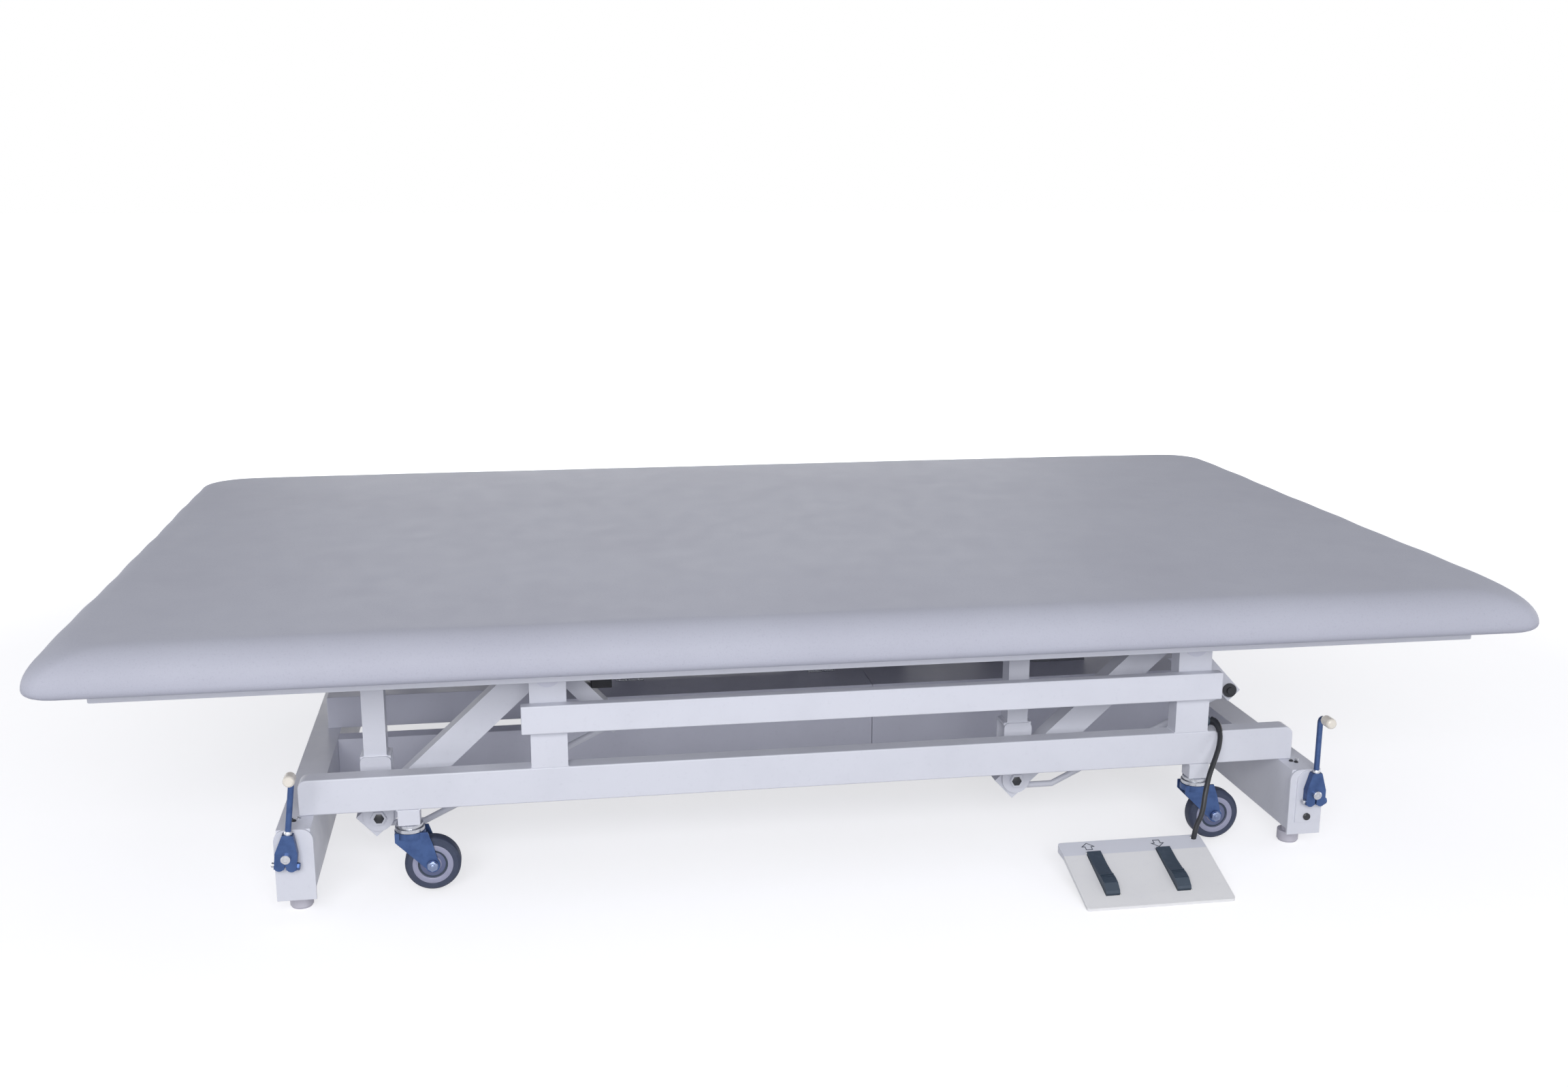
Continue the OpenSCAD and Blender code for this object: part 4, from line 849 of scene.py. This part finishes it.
def make_stage():
    mesh = bmesh.new()
    bmesh.ops.create_grid(mesh, x_segments=1, y_segments=1, size=40)
    data = bpy.data.meshes.new("floor")
    mesh.to_mesh(data)
    mesh.free()
    floor = bpy.data.objects.new("floor", data)
    bpy.context.scene.collection.objects.link(floor)
    look = Look("floor", srgb(205, 205, 210), 0.9)
    look.tint(look.noise(3, 3), srgb(200, 200, 206), 0.4, 0.8, 0.4)
    tree = look.tree
    glow = tree.nodes.new("ShaderNodeEmission")
    glow.inputs["Color"].default_value = (1, 1, 1, 1)
    tree.links.new(look.ramp(look.distance(), *FLOOR_GLOW, *FLOOR_NEAR_FAR), glow.inputs["Strength"])
    both = tree.nodes.new("ShaderNodeAddShader")
    pick = tree.nodes.new("ShaderNodeMixShader")
    output = next(n for n in tree.nodes if n.type == "OUTPUT_MATERIAL")
    tree.links.new(look.shader.outputs[0], both.inputs[0])
    tree.links.new(glow.outputs[0], both.inputs[1])
    tree.links.new(seen_rays(tree), pick.inputs["Fac"])
    tree.links.new(look.shader.outputs[0], pick.inputs[1])
    tree.links.new(both.outputs[0], pick.inputs[2])
    tree.links.new(pick.outputs[0], output.inputs["Surface"])
    data.materials.append(look.material)


def make_world():
    world = bpy.data.worlds.new("studio")
    bpy.context.scene.world = world
    world.use_nodes = True
    tree = world.node_tree
    light = tree.nodes["Background"]
    light.inputs["Color"].default_value = (0.94, 0.96, 1.0, 1)
    light.inputs["Strength"].default_value = WORLD_LIGHT
    white = tree.nodes.new("ShaderNodeBackground")
    white.inputs["Color"].default_value = (1, 1, 1, 1)
    white.inputs["Strength"].default_value = 1.0
    pick = tree.nodes.new("ShaderNodeMixShader")
    tree.links.new(seen_rays(tree), pick.inputs["Fac"])
    tree.links.new(light.outputs[0], pick.inputs[1])
    tree.links.new(white.outputs[0], pick.inputs[2])
    tree.links.new(pick.outputs[0], tree.nodes["World Output"].inputs["Surface"])


def make_lamp(name, place, target, size, power):
    data = bpy.data.lights.new(name, "AREA")
    data.shape = "RECTANGLE"
    data.size, data.size_y = size
    data.energy = power
    lamp = bpy.data.objects.new(name, data)
    bpy.context.scene.collection.objects.link(lamp)
    lamp.location = place
    lamp.rotation_euler = (Vector(target) - Vector(place)).to_track_quat("-Z", "Y").to_euler()


def make_lights():
    make_lamp("key", (-0.7, -4.1, 1.9), (0.1, 0, 0.25), (3.0, 1.8), 118)
    make_lamp("fill", (3.0, -3.4, 1.3), (0.2, 0, 0.25), (2.0, 1.4), 12)
    make_lamp("back", (0.3, 4.3, 0.9), (0.1, 0, 0.25), (3.4, 1.4), 40)
    for end in SIDES:
        make_lamp("side", (end * 4.6, 0.7, 1.0), (0, 0.1, 0.25), (2.8, 1.6), 26)


make_stage()
make_world()
make_lights()
bpy.context.scene.view_settings.view_transform = "Standard"
